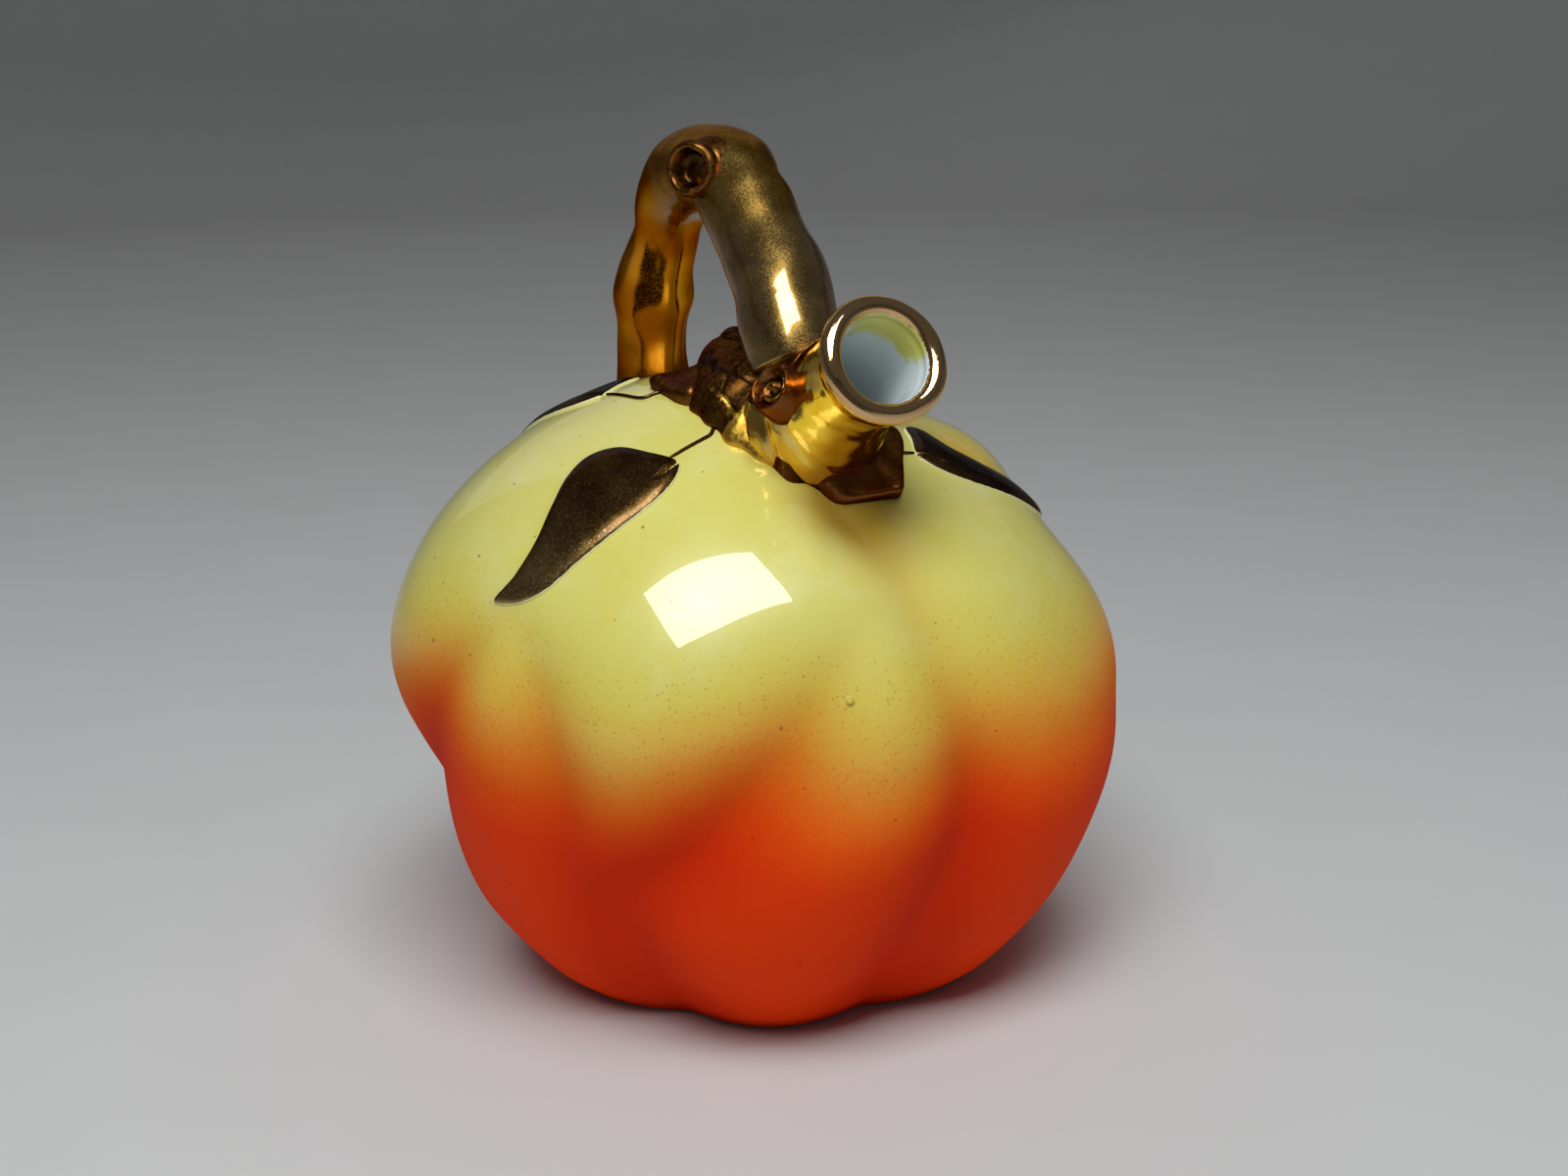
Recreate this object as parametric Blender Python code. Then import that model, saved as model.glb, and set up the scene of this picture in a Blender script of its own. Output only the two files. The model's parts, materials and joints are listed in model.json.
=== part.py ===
"""Pumpkin-shaped glazed jug with a pouring spout and a branch-shaped carrying handle.

The jug is one fired assembly made of separately cast and hand-modelled pieces.
Frame: +Z up, origin at the middle of the flat underside.  The spout points to -Y, the handle
arches from the front of the top to the back in the plane x = 0, and the left side is -X.
"""
import bmesh
import bpy
import numpy as np
from mathutils import Matrix, Vector
from mathutils.bvhtree import BVHTree

MM = 0.001
GAP = 0.3 * MM              # room kept between two neighbouring pieces
SEAT_GAP = 0.6 * MM         # the same under a wide piece that bridges small bumps of the body
HIGH = 0.2                  # outlines drawn in plan are dropped onto the body from this height

# ---- driving sizes of the body, millimetres ----
BODY_RADIUS = 79.0
BODY_TOP = 130.5            # height of the body at its axis
WALL = 4.0
FOOT_RADIUS = 46.0          # flat underside
BULGE_HEIGHT = 62.0         # ribs are pushed towards this point on the axis
LIFT_BAND = 25.0            # above the bulge, ribs start to sink downwards too over this height
LEAN_AZIMUTH = -114.0       # the upper half of the casting leans this way, degrees
# where the right side stands prouder than the turned outline:
# (azimuth in degrees, height, how far out, reach to either side in degrees, reach up and down)
SWELLS = ((88, 108, 4.8, 36, 10), (58, 82, 2.6, 16, 18))

# body outline: (radius, height) from the top of the axis to the middle of the underside
BODY_OUTLINE = (
    (0.0, BODY_TOP), (12.0, BODY_TOP - 1.0), (25.0, 126.0), (43.0, 118.0), (59.5, 105.5),
    (72.0, 90.0), (BODY_RADIUS - 0.5, 74.0), (BODY_RADIUS, 58.0), (76.0, 42.0), (68.5, 23.0),
    (58.5, 9.0), (51.5, 2.5), (FOOT_RADIUS, 0.0), (25.0, 0.0), (0.0, 0.0),
)
# how far the axis of the body is off upright, (height, shift)
BODY_LEAN = ((0.0, -1.8), (45.0, -1.8), (65.0, 1.0), (85.0, 4.0), (105.0, 5.0), (135.0, 5.0))

# Valleys between the ribs: points (azimuth in degrees from the front, height, depth), then the
# width of the valley's flanks.  A steep valley runs from the calyx to the foot between two ribs,
# and a slanting one splits the rib to its left on the way down.
VALLEY_WIDTH = 13.0
VALLEY_SOFTNESS = 3.5
STEEP_VALLEY = ((-2, 120, 2.0), (5, 112, 7.0), (8, 102, 4.0), (8, 84, 3.0), (9, 66, 4.5),
                (8, 50, 6.0), (4, 30, 7.0), (2, 10, 10.0), (2, 1, 10.0))
SOFT_VALLEY = ((-64, 102, 0.5), (-60, 92, 2.0), (-54, 80, 3.5), (-53, 61, 4.0), (-55, 42, 4.0),
               (-52, 26, 4.0))
SLANTING_VALLEY = ((5, 99, 1.0), (-8, 86, 3.0), (-20, 68, 5.0), (-34, 50, 6.0), (-48, 35, 7.0),
                   (-50, 20, 8.0), (-47, 8, 10.0), (-47, 1, 10.0))
BODY_SIDES, BODY_ROWS = 84, 34
CAVITY_SIDES, CAVITY_ROWS = 48, 18
CAVITY_VALLEYS = 0.8        # the inside follows the valleys this closely
VALLEYS = (
    # (points, turned by this many degrees)
    (STEEP_VALLEY, 0), (SLANTING_VALLEY, 0), (SOFT_VALLEY, 0),
    (SLANTING_VALLEY, -61), (SOFT_VALLEY, -61),
    (STEEP_VALLEY, 62), (STEEP_VALLEY, 122), (SLANTING_VALLEY, 182), (SOFT_VALLEY, 182),
)

# ---- spout ----
SPOUT_RIM = Vector((0.0, -63.0, 141.0)) * MM     # middle of the open mouth
SPOUT_SLOPE = 27.5                               # degrees above level
SPOUT_LENGTH = 61.0 * MM
SPOUT_RADIUS = 10.5 * MM
SPOUT_BORE = 8.0 * MM
LIP_RADIUS = 12.6 * MM
LIP_BORE = 8.6 * MM
LIP_UNDERSIDE = -0.35 * np.pi                    # the round of the lip starts at this angle
LIP_STEPS = 10
LIP_DEPTH = 6.0 * MM                             # the flare of the lip ends this far down
NECK_SWELL = 0.7 * MM
BORE_DEPTH = 14.0 * MM                           # the bore is at its own width from here down
SPOUT_SIDES = 36

# ---- handle: (y, height, radius) along the branch, front foot first, millimetres ----
BRANCH = (
    (-20.1, 139.0, 10.2), (-17.0, 144.0, 10.0), (-13.2, 149.5, 9.8), (-7.0, 157.0, 9.7),
    (1.0, 165.5, 9.6), (13.0, 170.4, 9.6), (27.0, 170.5, 9.3), (38.5, 167.0, 9.2),
    (47.5, 159.0, 7.6), (54.0, 150.0, 8.3), (58.0, 141.0, 9.0), (60.0, 132.0, 8.2),
    (60.2, 122.5, 7.9), (58.5, 114.0, 8.4), (55.0, 106.5, 9.2),
)
FRONT_FOOT_DIRECTION = Vector((0, -0.52, -0.85)).normalized()
BACK_FOOT_DIRECTION = Vector((0, -0.55, -0.84)).normalized()
DROP_START = 12 * MM        # rays for the feet start this far above them
FOOT_GAP = 2 * GAP
BRANCH_SIDES = 20
BRANCH_RINGS = 46

# ---- collar: outline points (x, y), and its thickness over the body, millimetres ----
COLLAR_MIDDLE = (0.0, -20.0)
COLLAR_OUTLINE = ((0, 2), (-10, 0), (-17, -8), (-20, -18), (-19, -27), (-15.5, -34), (-9, -40),
                  (0, -41), (8, -37), (14, -31.5), (18.5, -26), (20, -18), (17, -8), (10, 0))
COLLAR_EDGE = 1.4
COLLAR_PEAK = 7.5

# ---- pruned stub at the crown of the handle, and the knot beside the spout's root ----
STUB_FACE = Vector((-12.3, 5.0, 172.3)) * MM      # middle of its cut face
STUB_DIRECTION = Vector((-0.9, -0.41, 0.1)).normalized()
STUB_RADIUS = 5.8 * MM
STUB_DISH = 1.2 * MM        # the cut face is hollowed by this much
KNOT_FACE = Vector((-13.6, -41.0, 133.0)) * MM
KNOT_DIRECTION = Vector((-0.84, -0.26, 0.48)).normalized()
KNOT_RADIUS = 3.9 * MM
KNOT_DISH = 0.7 * MM

# ---- raised leaf: outline (along, across) from the stem end to the tip, millimetres ----
LEAF_OUTLINE = ((0, 0), (4, -9), (11, -14.5), (21, -11), (29, -4.5), (38, 0), (44, 2),
                (38, 5.5), (30, 8), (20, 9.5), (10, 8.5), (2, 4.5))
LEAF_MIDDLE = 17 * MM       # the leaf swells most at this distance from the stem end
LEAF_RELIEF = 1.3 * MM
LEAF_DRAWN_ABOVE = 20 * MM  # the outline is drawn this far off the body, then dropped onto it
EDGE_SHARE = 0.6            # a leaf, stem or sepal is this share of its thickness at its edge
STEM_WIDTH = 1.1 * MM
STEM_RELIEF = 0.7 * MM
# name: (mirrored, stem end (azimuth, radius), tip (azimuth, radius), stem start (azimuth, radius))
LEAVES = {
    "front_left": (False, (-44, 42), (-69, 72), (-39, 34)),
    "front_right": (True, (36, 41), (75, 62), (36, 35.5)),
    "back_left": (False, (-110, 31), (-150, 66), (-88, 25)),
    "back_right": (True, (110, 31), (150, 66), (88, 25)),
}

STEM_SHORT = 0.8            # how far the stem stops short of the leaf
STEM_STEPS = 9

# ---- sepals: pointed flaps of the calyx; outline (across, out) as shares of width and length ----
SEPAL_OUTLINE = ((-0.5, 0.0), (-0.25, -0.03), (0.0, 0.0), (0.25, -0.03), (0.5, 0.0), (0.46, 0.3),
                 (0.28, 0.6), (0.1, 0.88), (0.0, 1.0), (-0.1, 0.88), (-0.28, 0.6), (-0.46, 0.3))
SEPAL_RELIEF = 1.6 * MM
# name: (azimuth about the collar, distance of the near edge, length, width)
SEPALS = {
    "left": (-131, 23.0, 8.0, 15.0),
    "right": (131, 23.0, 8.0, 15.0),
    "back": (180, 23.6, 9.0, 12.0),
    "front": (26, 20.6, 6.5, 18.0),
}


def clear_scene():
    """Remove every object that the file opened with."""
    for item in list(bpy.data.objects):
        bpy.data.objects.remove(item, do_unlink=True)


def make_material(name, colour, roughness, metallic=0.0, coat=0.0):
    material = bpy.data.materials.new(name)
    material.use_nodes = True
    shader = material.node_tree.nodes["Principled BSDF"]
    shader.inputs["Base Color"].default_value = (*colour, 1.0)
    shader.inputs["Roughness"].default_value = roughness
    shader.inputs["Metallic"].default_value = metallic
    shader.inputs["Coat Weight"].default_value = coat
    material.diffuse_color = (*colour, 1.0)
    return material


def smooth_curve(points, count):
    """Catmull-Rom curve through points, as count points evenly spaced along its length."""
    points = np.asarray(points, float)
    ends = np.vstack([2 * points[0] - points[1], points, 2 * points[-1] - points[-2]])
    t = np.linspace(0, 1, 24, endpoint=False)[:, None]
    spans = []
    for a, b, c, d in zip(ends, ends[1:], ends[2:], ends[3:]):
        spans.append(0.5 * (2 * b + (c - a) * t + (2 * a - 5 * b + 4 * c - d) * t**2
                            + (3 * b - 3 * c + d - a) * t**3))
    dense = np.vstack([*spans, points[-1:]])
    steps = np.linalg.norm(np.diff(dense, axis=0), axis=1)
    travelled = np.concatenate([[0.0], np.cumsum(steps)])
    wanted = np.linspace(0, travelled[-1], count)
    return np.stack([np.interp(wanted, travelled, column) for column in dense.T], axis=1)


def closed_outline(points, count):
    """Smooth closed outline through points, as count points without a repeated end."""
    points = np.asarray(points, float)
    wrapped = np.vstack([points[-2:], points, points[:3]])
    curve = smooth_curve(wrapped, 40 * len(wrapped))
    start = np.linalg.norm(curve - points[0], axis=1)[: len(curve) // 2].argmin()
    finish = len(curve) // 2 + np.linalg.norm(curve - points[0], axis=1)[len(curve) // 2:].argmin()
    loop = curve[start: finish + 1]
    return smooth_curve(loop, count + 1)[:-1]


class PumpkinSurface:
    """The outside of the body as a formula: a turned outline with valleys pressed into it."""

    def __init__(self):
        self.outline = smooth_curve(np.array(BODY_OUTLINE) * MM, 241)
        self.outline[:, 1] = np.maximum(self.outline[:, 1], 0.0)
        self.runs = np.linspace(0, 1, len(self.outline))
        self.length = np.linalg.norm(np.diff(self.outline, axis=0), axis=1).sum()
        self.lean = smooth_curve(np.array(BODY_LEAN) * MM, 60)
        self.valleys = [self.valley_line(points, turn) for points, turn in VALLEYS]

    def valley_line(self, points, turn):
        line = smooth_curve(points, 40)
        run = np.interp(-line[:, 1] * MM, -self.outline[:, 1], self.runs)
        return np.radians(line[:, 0] + turn), run, line[:, 2] * MM

    def depth(self, azimuth, run):
        """How far the valleys push the surface in at each point."""
        radius = np.interp(run, self.runs, self.outline[:, 0])[..., None]
        total = 0.0
        for line_azimuth, line_run, line_depth in self.valleys:
            turn = (azimuth[..., None] - line_azimuth + np.pi) % (2 * np.pi) - np.pi
            away = np.hypot(turn * radius, (run[..., None] - line_run) * self.length)
            nearest = away.argmin(-1)
            distance = np.take_along_axis(away, nearest[..., None], -1)[..., 0]
            softness = VALLEY_SOFTNESS * MM
            flank = (np.hypot(distance, softness) - softness) / (VALLEY_WIDTH * MM)
            total = total + (line_depth[nearest] * np.exp(-flank)) ** 3
        return np.cbrt(total)

    def swell(self, azimuth, height):
        """How far the swells push the surface out at each point."""
        total = 0.0
        for middle, level, amount, spread, drop in SWELLS:
            turn = (np.degrees(azimuth) - middle + 180) % 360 - 180
            away = (turn / spread) ** 2 + ((height / MM - level) / drop) ** 2
            total = total + amount * MM * np.exp(-away)
        return total

    def points(self, azimuth, run, inset=0.0, valley_share=1.0):
        """Points of the surface, pushed in by inset, keeping valley_share of the valleys."""
        radius = np.interp(run, self.runs, self.outline[:, 0])
        height = np.interp(run, self.runs, self.outline[:, 1])
        above = height - BULGE_HEIGHT * MM
        push = self.depth(azimuth, run) * valley_share + inset - self.swell(azimuth, height)
        share = push / np.hypot(radius, above)
        blend = np.clip(above / (LIFT_BAND * MM), 0, 1)
        blend = blend * blend * (3 - 2 * blend)
        if inset:
            blend = np.ones_like(blend)
        radius = radius * (1 - share)
        height = height - share * blend * above
        shift = np.interp(height, self.lean[:, 0], self.lean[:, 1])
        lean_azimuth = np.radians(LEAN_AZIMUTH)
        return np.stack([radius * np.sin(azimuth) + shift * np.sin(lean_azimuth),
                         -radius * np.cos(azimuth) - shift * np.cos(lean_azimuth), height], axis=-1)


def closed_surface(surface, sides, rows, **options):
    """A closed bmesh of the pumpkin surface, with a point at the top and at the bottom."""
    azimuth, run = np.meshgrid(np.arange(sides) * 2 * np.pi / sides,
                               np.linspace(0, 1, rows + 1)[1:-1], indexing="ij")
    grid = surface.points(azimuth, run, **options)
    ends = surface.points(np.zeros(2), np.array([1e-6, 1 - 1e-6]), **options)
    mesh = bmesh.new()
    columns = [[mesh.verts.new(point) for point in column] for column in grid]
    top = mesh.verts.new(ends[0])
    bottom = mesh.verts.new(ends[1])
    for near, far in zip(columns, columns[1:] + columns[:1]):
        mesh.faces.new((top, near[0], far[0]))
        mesh.faces.new((bottom, far[-1], near[-1]))
        for row in range(len(near) - 1):
            mesh.faces.new((near[row], near[row + 1], far[row + 1], far[row]))
    return mesh


def finish_object(name, mesh, material, smooth_angle=40.0):
    """Turn a bmesh into a named, smooth-shaded object whose faces point out."""
    bmesh.ops.recalc_face_normals(mesh, faces=mesh.faces)
    data = bpy.data.meshes.new(name)
    mesh.to_mesh(data)
    mesh.free()
    data.shade_smooth()
    data.set_sharp_from_angle(angle=np.radians(smooth_angle))
    item = bpy.data.objects.new(name, data)
    bpy.context.collection.objects.link(item)
    if material:
        data.materials.append(material)
    return item


def cut(target, cutter):
    """Subtract cutter from target, and hide the cutter."""
    modifier = target.modifiers.new("cut_" + cutter.name, "BOOLEAN")
    modifier.operation = "DIFFERENCE"
    modifier.solver = "EXACT"
    modifier.object = cutter
    cutter.hide_render = True
    cutter.display_type = "WIRE"


def lathe(profile, sides, origin, axis):
    """Closed turned bmesh: profile is a closed loop of (radius, distance along axis)."""
    turn = Vector((0, 0, 1)).rotation_difference(axis).to_matrix().to_4x4()
    place = Matrix.Translation(origin) @ turn
    mesh = bmesh.new()
    columns = []
    for angle in np.arange(sides) * 2 * np.pi / sides:
        columns.append([mesh.verts.new(place @ Vector((r * np.cos(angle), r * np.sin(angle), t)))
                        for r, t in profile])
    for near, far in zip(columns, columns[1:] + columns[:1]):
        for k in range(len(profile)):
            following = (k + 1) % len(profile)
            mesh.faces.new((near[k], near[following], far[following], far[k]))
    return mesh


def cylinder(name, radius, length, origin, axis, sides=48):
    """A plain cylinder from origin along axis, used as a cutter."""
    mesh = bmesh.new()
    turn = Vector((0, 0, 1)).rotation_difference(axis).to_matrix().to_4x4()
    middle = Matrix.Translation(Vector(origin) + Vector(axis) * (length / 2))
    bmesh.ops.create_cone(mesh, cap_ends=True, segments=sides, radius1=radius, radius2=radius,
                          depth=length, matrix=middle @ turn)
    return finish_object(name, mesh, None)


def spout_axis():
    slope = np.radians(SPOUT_SLOPE)
    return Vector((0, -np.cos(slope), np.sin(slope)))


def build_body(surface, glaze):
    """The hollow shell; also returns the tree of its uncut outside, and the spout's cutter."""
    body = finish_object("body_shell", closed_surface(surface, BODY_SIDES, BODY_ROWS), glaze, 60.0)
    outside = tree_of(body)
    cavity = finish_object("cavity_cutter",
                           closed_surface(surface, CAVITY_SIDES, CAVITY_ROWS, inset=WALL * MM,
                                          valley_share=CAVITY_VALLEYS), None)
    axis = spout_axis()
    inner_end = SPOUT_RIM - axis * (SPOUT_LENGTH + 2 * MM)
    hole = cylinder("spout_cutter", SPOUT_RADIUS + GAP, SPOUT_LENGTH, inner_end, axis)
    cut(body, cavity)
    cut(body, hole)
    return outside, hole


def build_spout(gold):
    """Tube with a rounded, slightly flared lip, through the wall of the body."""
    axis = spout_axis()
    lip_middle = (LIP_RADIUS + LIP_BORE) / 2
    lip_half = (LIP_RADIUS - LIP_BORE) / 2
    lip = [(lip_middle + lip_half * np.cos(a), -lip_half + lip_half * np.sin(a))
           for a in np.linspace(LIP_UNDERSIDE, np.pi, LIP_STEPS)]
    outside = [(SPOUT_RADIUS, -share * SPOUT_LENGTH) for share in (1.0, 0.55, 0.25)]
    neck = [(SPOUT_RADIUS + NECK_SWELL, -LIP_DEPTH)]
    inside = [(LIP_BORE, -LIP_DEPTH), (SPOUT_BORE, -BORE_DEPTH), (SPOUT_BORE, -SPOUT_LENGTH)]
    mesh = lathe(outside + neck + lip + inside, SPOUT_SIDES, SPOUT_RIM, axis)
    return finish_object("spout_tube", mesh, gold)


def drop(trees, point, direction):
    """Where a ray from point first meets one of the trees' surfaces, and the normal there."""
    hits = [tree.ray_cast(Vector(point), Vector(direction)) for tree in trees]
    hits = [hit for hit in hits if hit[0] is not None]
    if not hits:
        raise ValueError("the ray from %s misses the surface" % (tuple(point),))
    place, normal, _, _ = min(hits, key=lambda hit: hit[3])
    return place, normal


def raised_patch(name, trees, outline, middle, direction, lift, material, rings=3, gap=GAP):
    """A thin closed piece lying on a surface: outline and middle are dropped along direction,
    and lift(share) is its thickness where share runs from 0 in the middle to 1 at the edge."""
    middle = Vector(middle)
    under, upper = [], []
    for ring in range(rings + 1):
        share = ring / rings
        corners = [middle.lerp(Vector(corner), share) for corner in outline]
        seats = [drop(trees, corner, direction) for corner in (corners if ring else corners[:1])]
        under.append([place + normal * gap for place, normal in seats])
        upper.append([place + normal * (gap + lift(share)) for place, normal in seats])
    return finish_object(name, plug(under, upper), material)


def cut_end(name, trees, face, direction, radius, dish, material, sides=24):
    """A short round stub from a surface out to a hollowed flat face, as on a sawn twig."""
    across = direction.orthogonal().normalized()
    turns = [Matrix.Rotation(2 * np.pi * n / sides, 3, direction) for n in range(sides)]
    under, upper = [], []
    for share, hollow in ((0.0, 1.0), (0.45, 1.0), (0.74, 0.75), (0.86, 0.0), (1.0, 0.25)):
        corners = [face + turn @ across * radius * share for turn in turns]
        corners = corners if share else corners[:1]
        seats = [drop(trees, corner + direction * radius, -direction)[0] for corner in corners]
        under.append([seat + direction * 2 * GAP for seat in seats])
        upper.append([corner - direction * dish * hollow for corner in corners])
    return finish_object(name, plug(under, upper), material)


def plug(under, upper):
    """Closed bmesh between two nested sets of loops, each a middle point and growing rings."""
    mesh = bmesh.new()
    layers = [[[mesh.verts.new(corner) for corner in loop] for loop in loops]
              for loops in (under, upper)]
    sides = len(under[-1])
    for k in range(sides):
        following = (k + 1) % sides
        for loops in layers:
            mesh.faces.new((loops[0][0], loops[1][k], loops[1][following]))
            for inner, outer in zip(loops[1:], loops[2:]):
                mesh.faces.new((inner[k], outer[k], outer[following], inner[following]))
        low, high = layers[0][-1], layers[1][-1]
        mesh.faces.new((low[k], high[k], high[following], low[following]))
    return mesh


def dome(edge, peak, power=0.6):
    """Thickness of a patch that swells from edge at its rim to peak in its middle."""
    return lambda share: edge + (peak - edge) * (1 - share**2) ** power


def tree_of(item):
    """Search tree of an object's evaluated mesh, in world space."""
    return BVHTree.FromObject(item, bpy.context.evaluated_depsgraph_get())


def build_collar(body_tree, hole, bark):
    outline = [(x * MM, y * MM, HIGH) for x, y in closed_outline(COLLAR_OUTLINE, 48)]
    middle = (COLLAR_MIDDLE[0] * MM, COLLAR_MIDDLE[1] * MM, HIGH)
    collar = raised_patch("bark_collar", [body_tree], outline, middle, (0, 0, -1),
                          dome(COLLAR_EDGE * MM, COLLAR_PEAK * MM), bark, rings=6, gap=SEAT_GAP)
    cut(collar, hole)
    return collar


def branch_rings():
    """Rings of points round the branch, from its front foot to its back foot."""
    path = smooth_curve(np.array(BRANCH) * MM, BRANCH_RINGS).tolist()
    side = Vector((1, 0, 0))
    rings = []
    for before, (y, z, radius), after in zip(path[:1] + path, path, path[1:] + path[-1:]):
        forward = Vector((0, after[0] - before[0], after[1] - before[1])).normalized()
        turns = [Matrix.Rotation(2 * np.pi * n / BRANCH_SIDES, 3, forward)
                 for n in range(BRANCH_SIDES)]
        rings.append([Vector((0, y, z)) + turn @ side * radius for turn in turns])
    return rings


def seated(corner, trees, direction):
    """The point where corner lands on the trees along direction, less the gap it keeps."""
    place, _ = drop(trees, corner - direction * DROP_START, direction)
    return place - direction * FOOT_GAP


def build_branch(front_trees, back_trees, gold):
    """The handle: a rod of changing radius whose two ends are shaped to what they stand on."""
    rings = branch_rings()
    feet = ((0, front_trees, FRONT_FOOT_DIRECTION), (-1, back_trees, BACK_FOOT_DIRECTION))
    mesh = bmesh.new()
    soles = []
    for at, trees, direction in feet:
        rings[at] = [seated(corner, trees, direction) for corner in rings[at]]
        middle = sum(rings[at], Vector()) / BRANCH_SIDES
        half = [seated(corner.lerp(middle, 0.5), trees, direction) for corner in rings[at]]
        soles.append(([mesh.verts.new(corner) for corner in half],
                      mesh.verts.new(seated(middle, trees, direction))))
    loops = [[mesh.verts.new(corner) for corner in ring] for ring in rings]
    for k in range(BRANCH_SIDES):
        following = (k + 1) % BRANCH_SIDES
        for near, far in zip(loops, loops[1:]):
            mesh.faces.new((near[k], near[following], far[following], far[k]))
        for loop, (half, centre) in zip((loops[0], loops[-1]), soles):
            mesh.faces.new((loop[k], loop[following], half[following], half[k]))
            mesh.faces.new((half[k], half[following], centre))
    return finish_object("branch_handle", mesh, gold)


def leaf_frame(tree, stem, tip):
    """Matrix of a leaf: x runs from the stem end to the tip, z stands off the body."""
    ends = []
    for azimuth, radius in (stem, tip):
        turn = np.radians(azimuth)
        above = Vector((radius * MM * np.sin(turn), -radius * MM * np.cos(turn), HIGH))
        ends.append(drop([tree], above, (0, 0, -1))[0])
    along = (ends[1] - ends[0]).normalized()
    outward = (ends[0] + ends[1]) / 2 - Vector((0, 0, BULGE_HEIGHT * MM))
    across = outward.cross(along).normalized()
    turned = Matrix((along, across, along.cross(across))).transposed().to_4x4()
    return Matrix.Translation(ends[0] + outward.normalized() * LEAF_DRAWN_ABOVE) @ turned, -outward


def build_leaf(name, tree, placing, bark):
    mirrored, stem, tip, _ = placing
    frame, inward = leaf_frame(tree, stem, tip)
    side = -1 if mirrored else 1
    outline = [frame @ Vector((along * MM, side * across * MM, 0))
               for along, across in closed_outline(LEAF_OUTLINE, 30)]
    middle = frame @ Vector((LEAF_MIDDLE, 0, 0))
    return raised_patch("leaf_" + name, [tree], outline, middle, inward,
                        dome(EDGE_SHARE * LEAF_RELIEF, LEAF_RELIEF), bark, rings=4, gap=SEAT_GAP)


def build_stem(name, tree, placing, bark):
    """A thin raised line from the calyx to the leaf."""
    _, leaf_end, _, start = placing
    ends = []
    for azimuth, radius in (start, leaf_end):
        turn = np.radians(azimuth)
        ends.append(Vector((radius * MM * np.sin(turn), -radius * MM * np.cos(turn), HIGH)))
    along = (ends[1] - ends[0]).normalized()
    across = Vector((-along.y, along.x, 0)) * STEM_WIDTH / 2
    first = ends[0]
    last = ends[1] - along * STEM_SHORT * MM
    outline = [first.lerp(last, t) + across for t in np.linspace(0, 1, STEM_STEPS)]
    outline += [first.lerp(last, t) - across for t in np.linspace(1, 0, STEM_STEPS)]
    middle = first.lerp(last, 0.5)
    return raised_patch("stem_" + name, [tree], outline, middle, (0, 0, -1),
                        dome(EDGE_SHARE * STEM_RELIEF, STEM_RELIEF), bark, rings=2)


def build_sepal(name, tree, azimuth, radius, length, width, bark):
    """A pointed flap lying on the body beside the collar, point outwards."""
    turn = Matrix.Rotation(np.radians(azimuth), 4, "Z")
    place = Matrix.Translation(Vector((COLLAR_MIDDLE[0] * MM, COLLAR_MIDDLE[1] * MM, HIGH))) @ turn
    outline = []
    for across, out in SEPAL_OUTLINE:
        outline.append(place @ Vector((across * width * MM, -(radius + out * length) * MM, 0)))
    middle = place @ Vector((0, -(radius + 0.4 * length) * MM, 0))
    return raised_patch("sepal_" + name, [tree], outline, middle, (0, 0, -1),
                        dome(EDGE_SHARE * SEPAL_RELIEF, SEPAL_RELIEF), bark, gap=SEAT_GAP)


def main():
    clear_scene()
    surface = PumpkinSurface()
    glaze = make_material("body_glaze", (0.78, 0.42, 0.06), 0.12, coat=1.0)
    gold = make_material("gold_lustre", (0.72, 0.44, 0.11), 0.18, metallic=1.0)
    bark = make_material("bark_lustre", (0.16, 0.09, 0.035), 0.28, metallic=1.0)
    outside, hole = build_body(surface, glaze)
    build_spout(gold)
    collar = build_collar(outside, hole, bark)
    foot = [tree_of(collar), tree_of(hole)]
    branch = build_branch(foot, [outside], gold)
    cut_end("pruned_stub", [tree_of(branch)], STUB_FACE, STUB_DIRECTION, STUB_RADIUS, STUB_DISH, gold)
    cut_end("collar_knot", foot, KNOT_FACE, KNOT_DIRECTION, KNOT_RADIUS, KNOT_DISH, bark)
    for name, placing in LEAVES.items():
        build_leaf(name, outside, placing, bark)
        build_stem(name, outside, placing, bark)
    for name, placing in SEPALS.items():
        build_sepal(name, outside, *placing, bark)


if __name__ == "__main__":
    main()
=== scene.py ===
"""Looks of the glazed ceramic pumpkin jug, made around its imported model.

Plain numbers in the tables are millimetres and degrees; MM turns millimetres into metres.
Frame: +Z up, origin in the middle of the flat underside, the spout points to -Y and the handle
lies in the plane x = 0.  An azimuth runs from the front (-Y) towards the right (+X).
"""

import json

import bpy
import numpy as np
from mathutils import Matrix, Vector, noise
from mathutils.bvhtree import BVHTree

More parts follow.
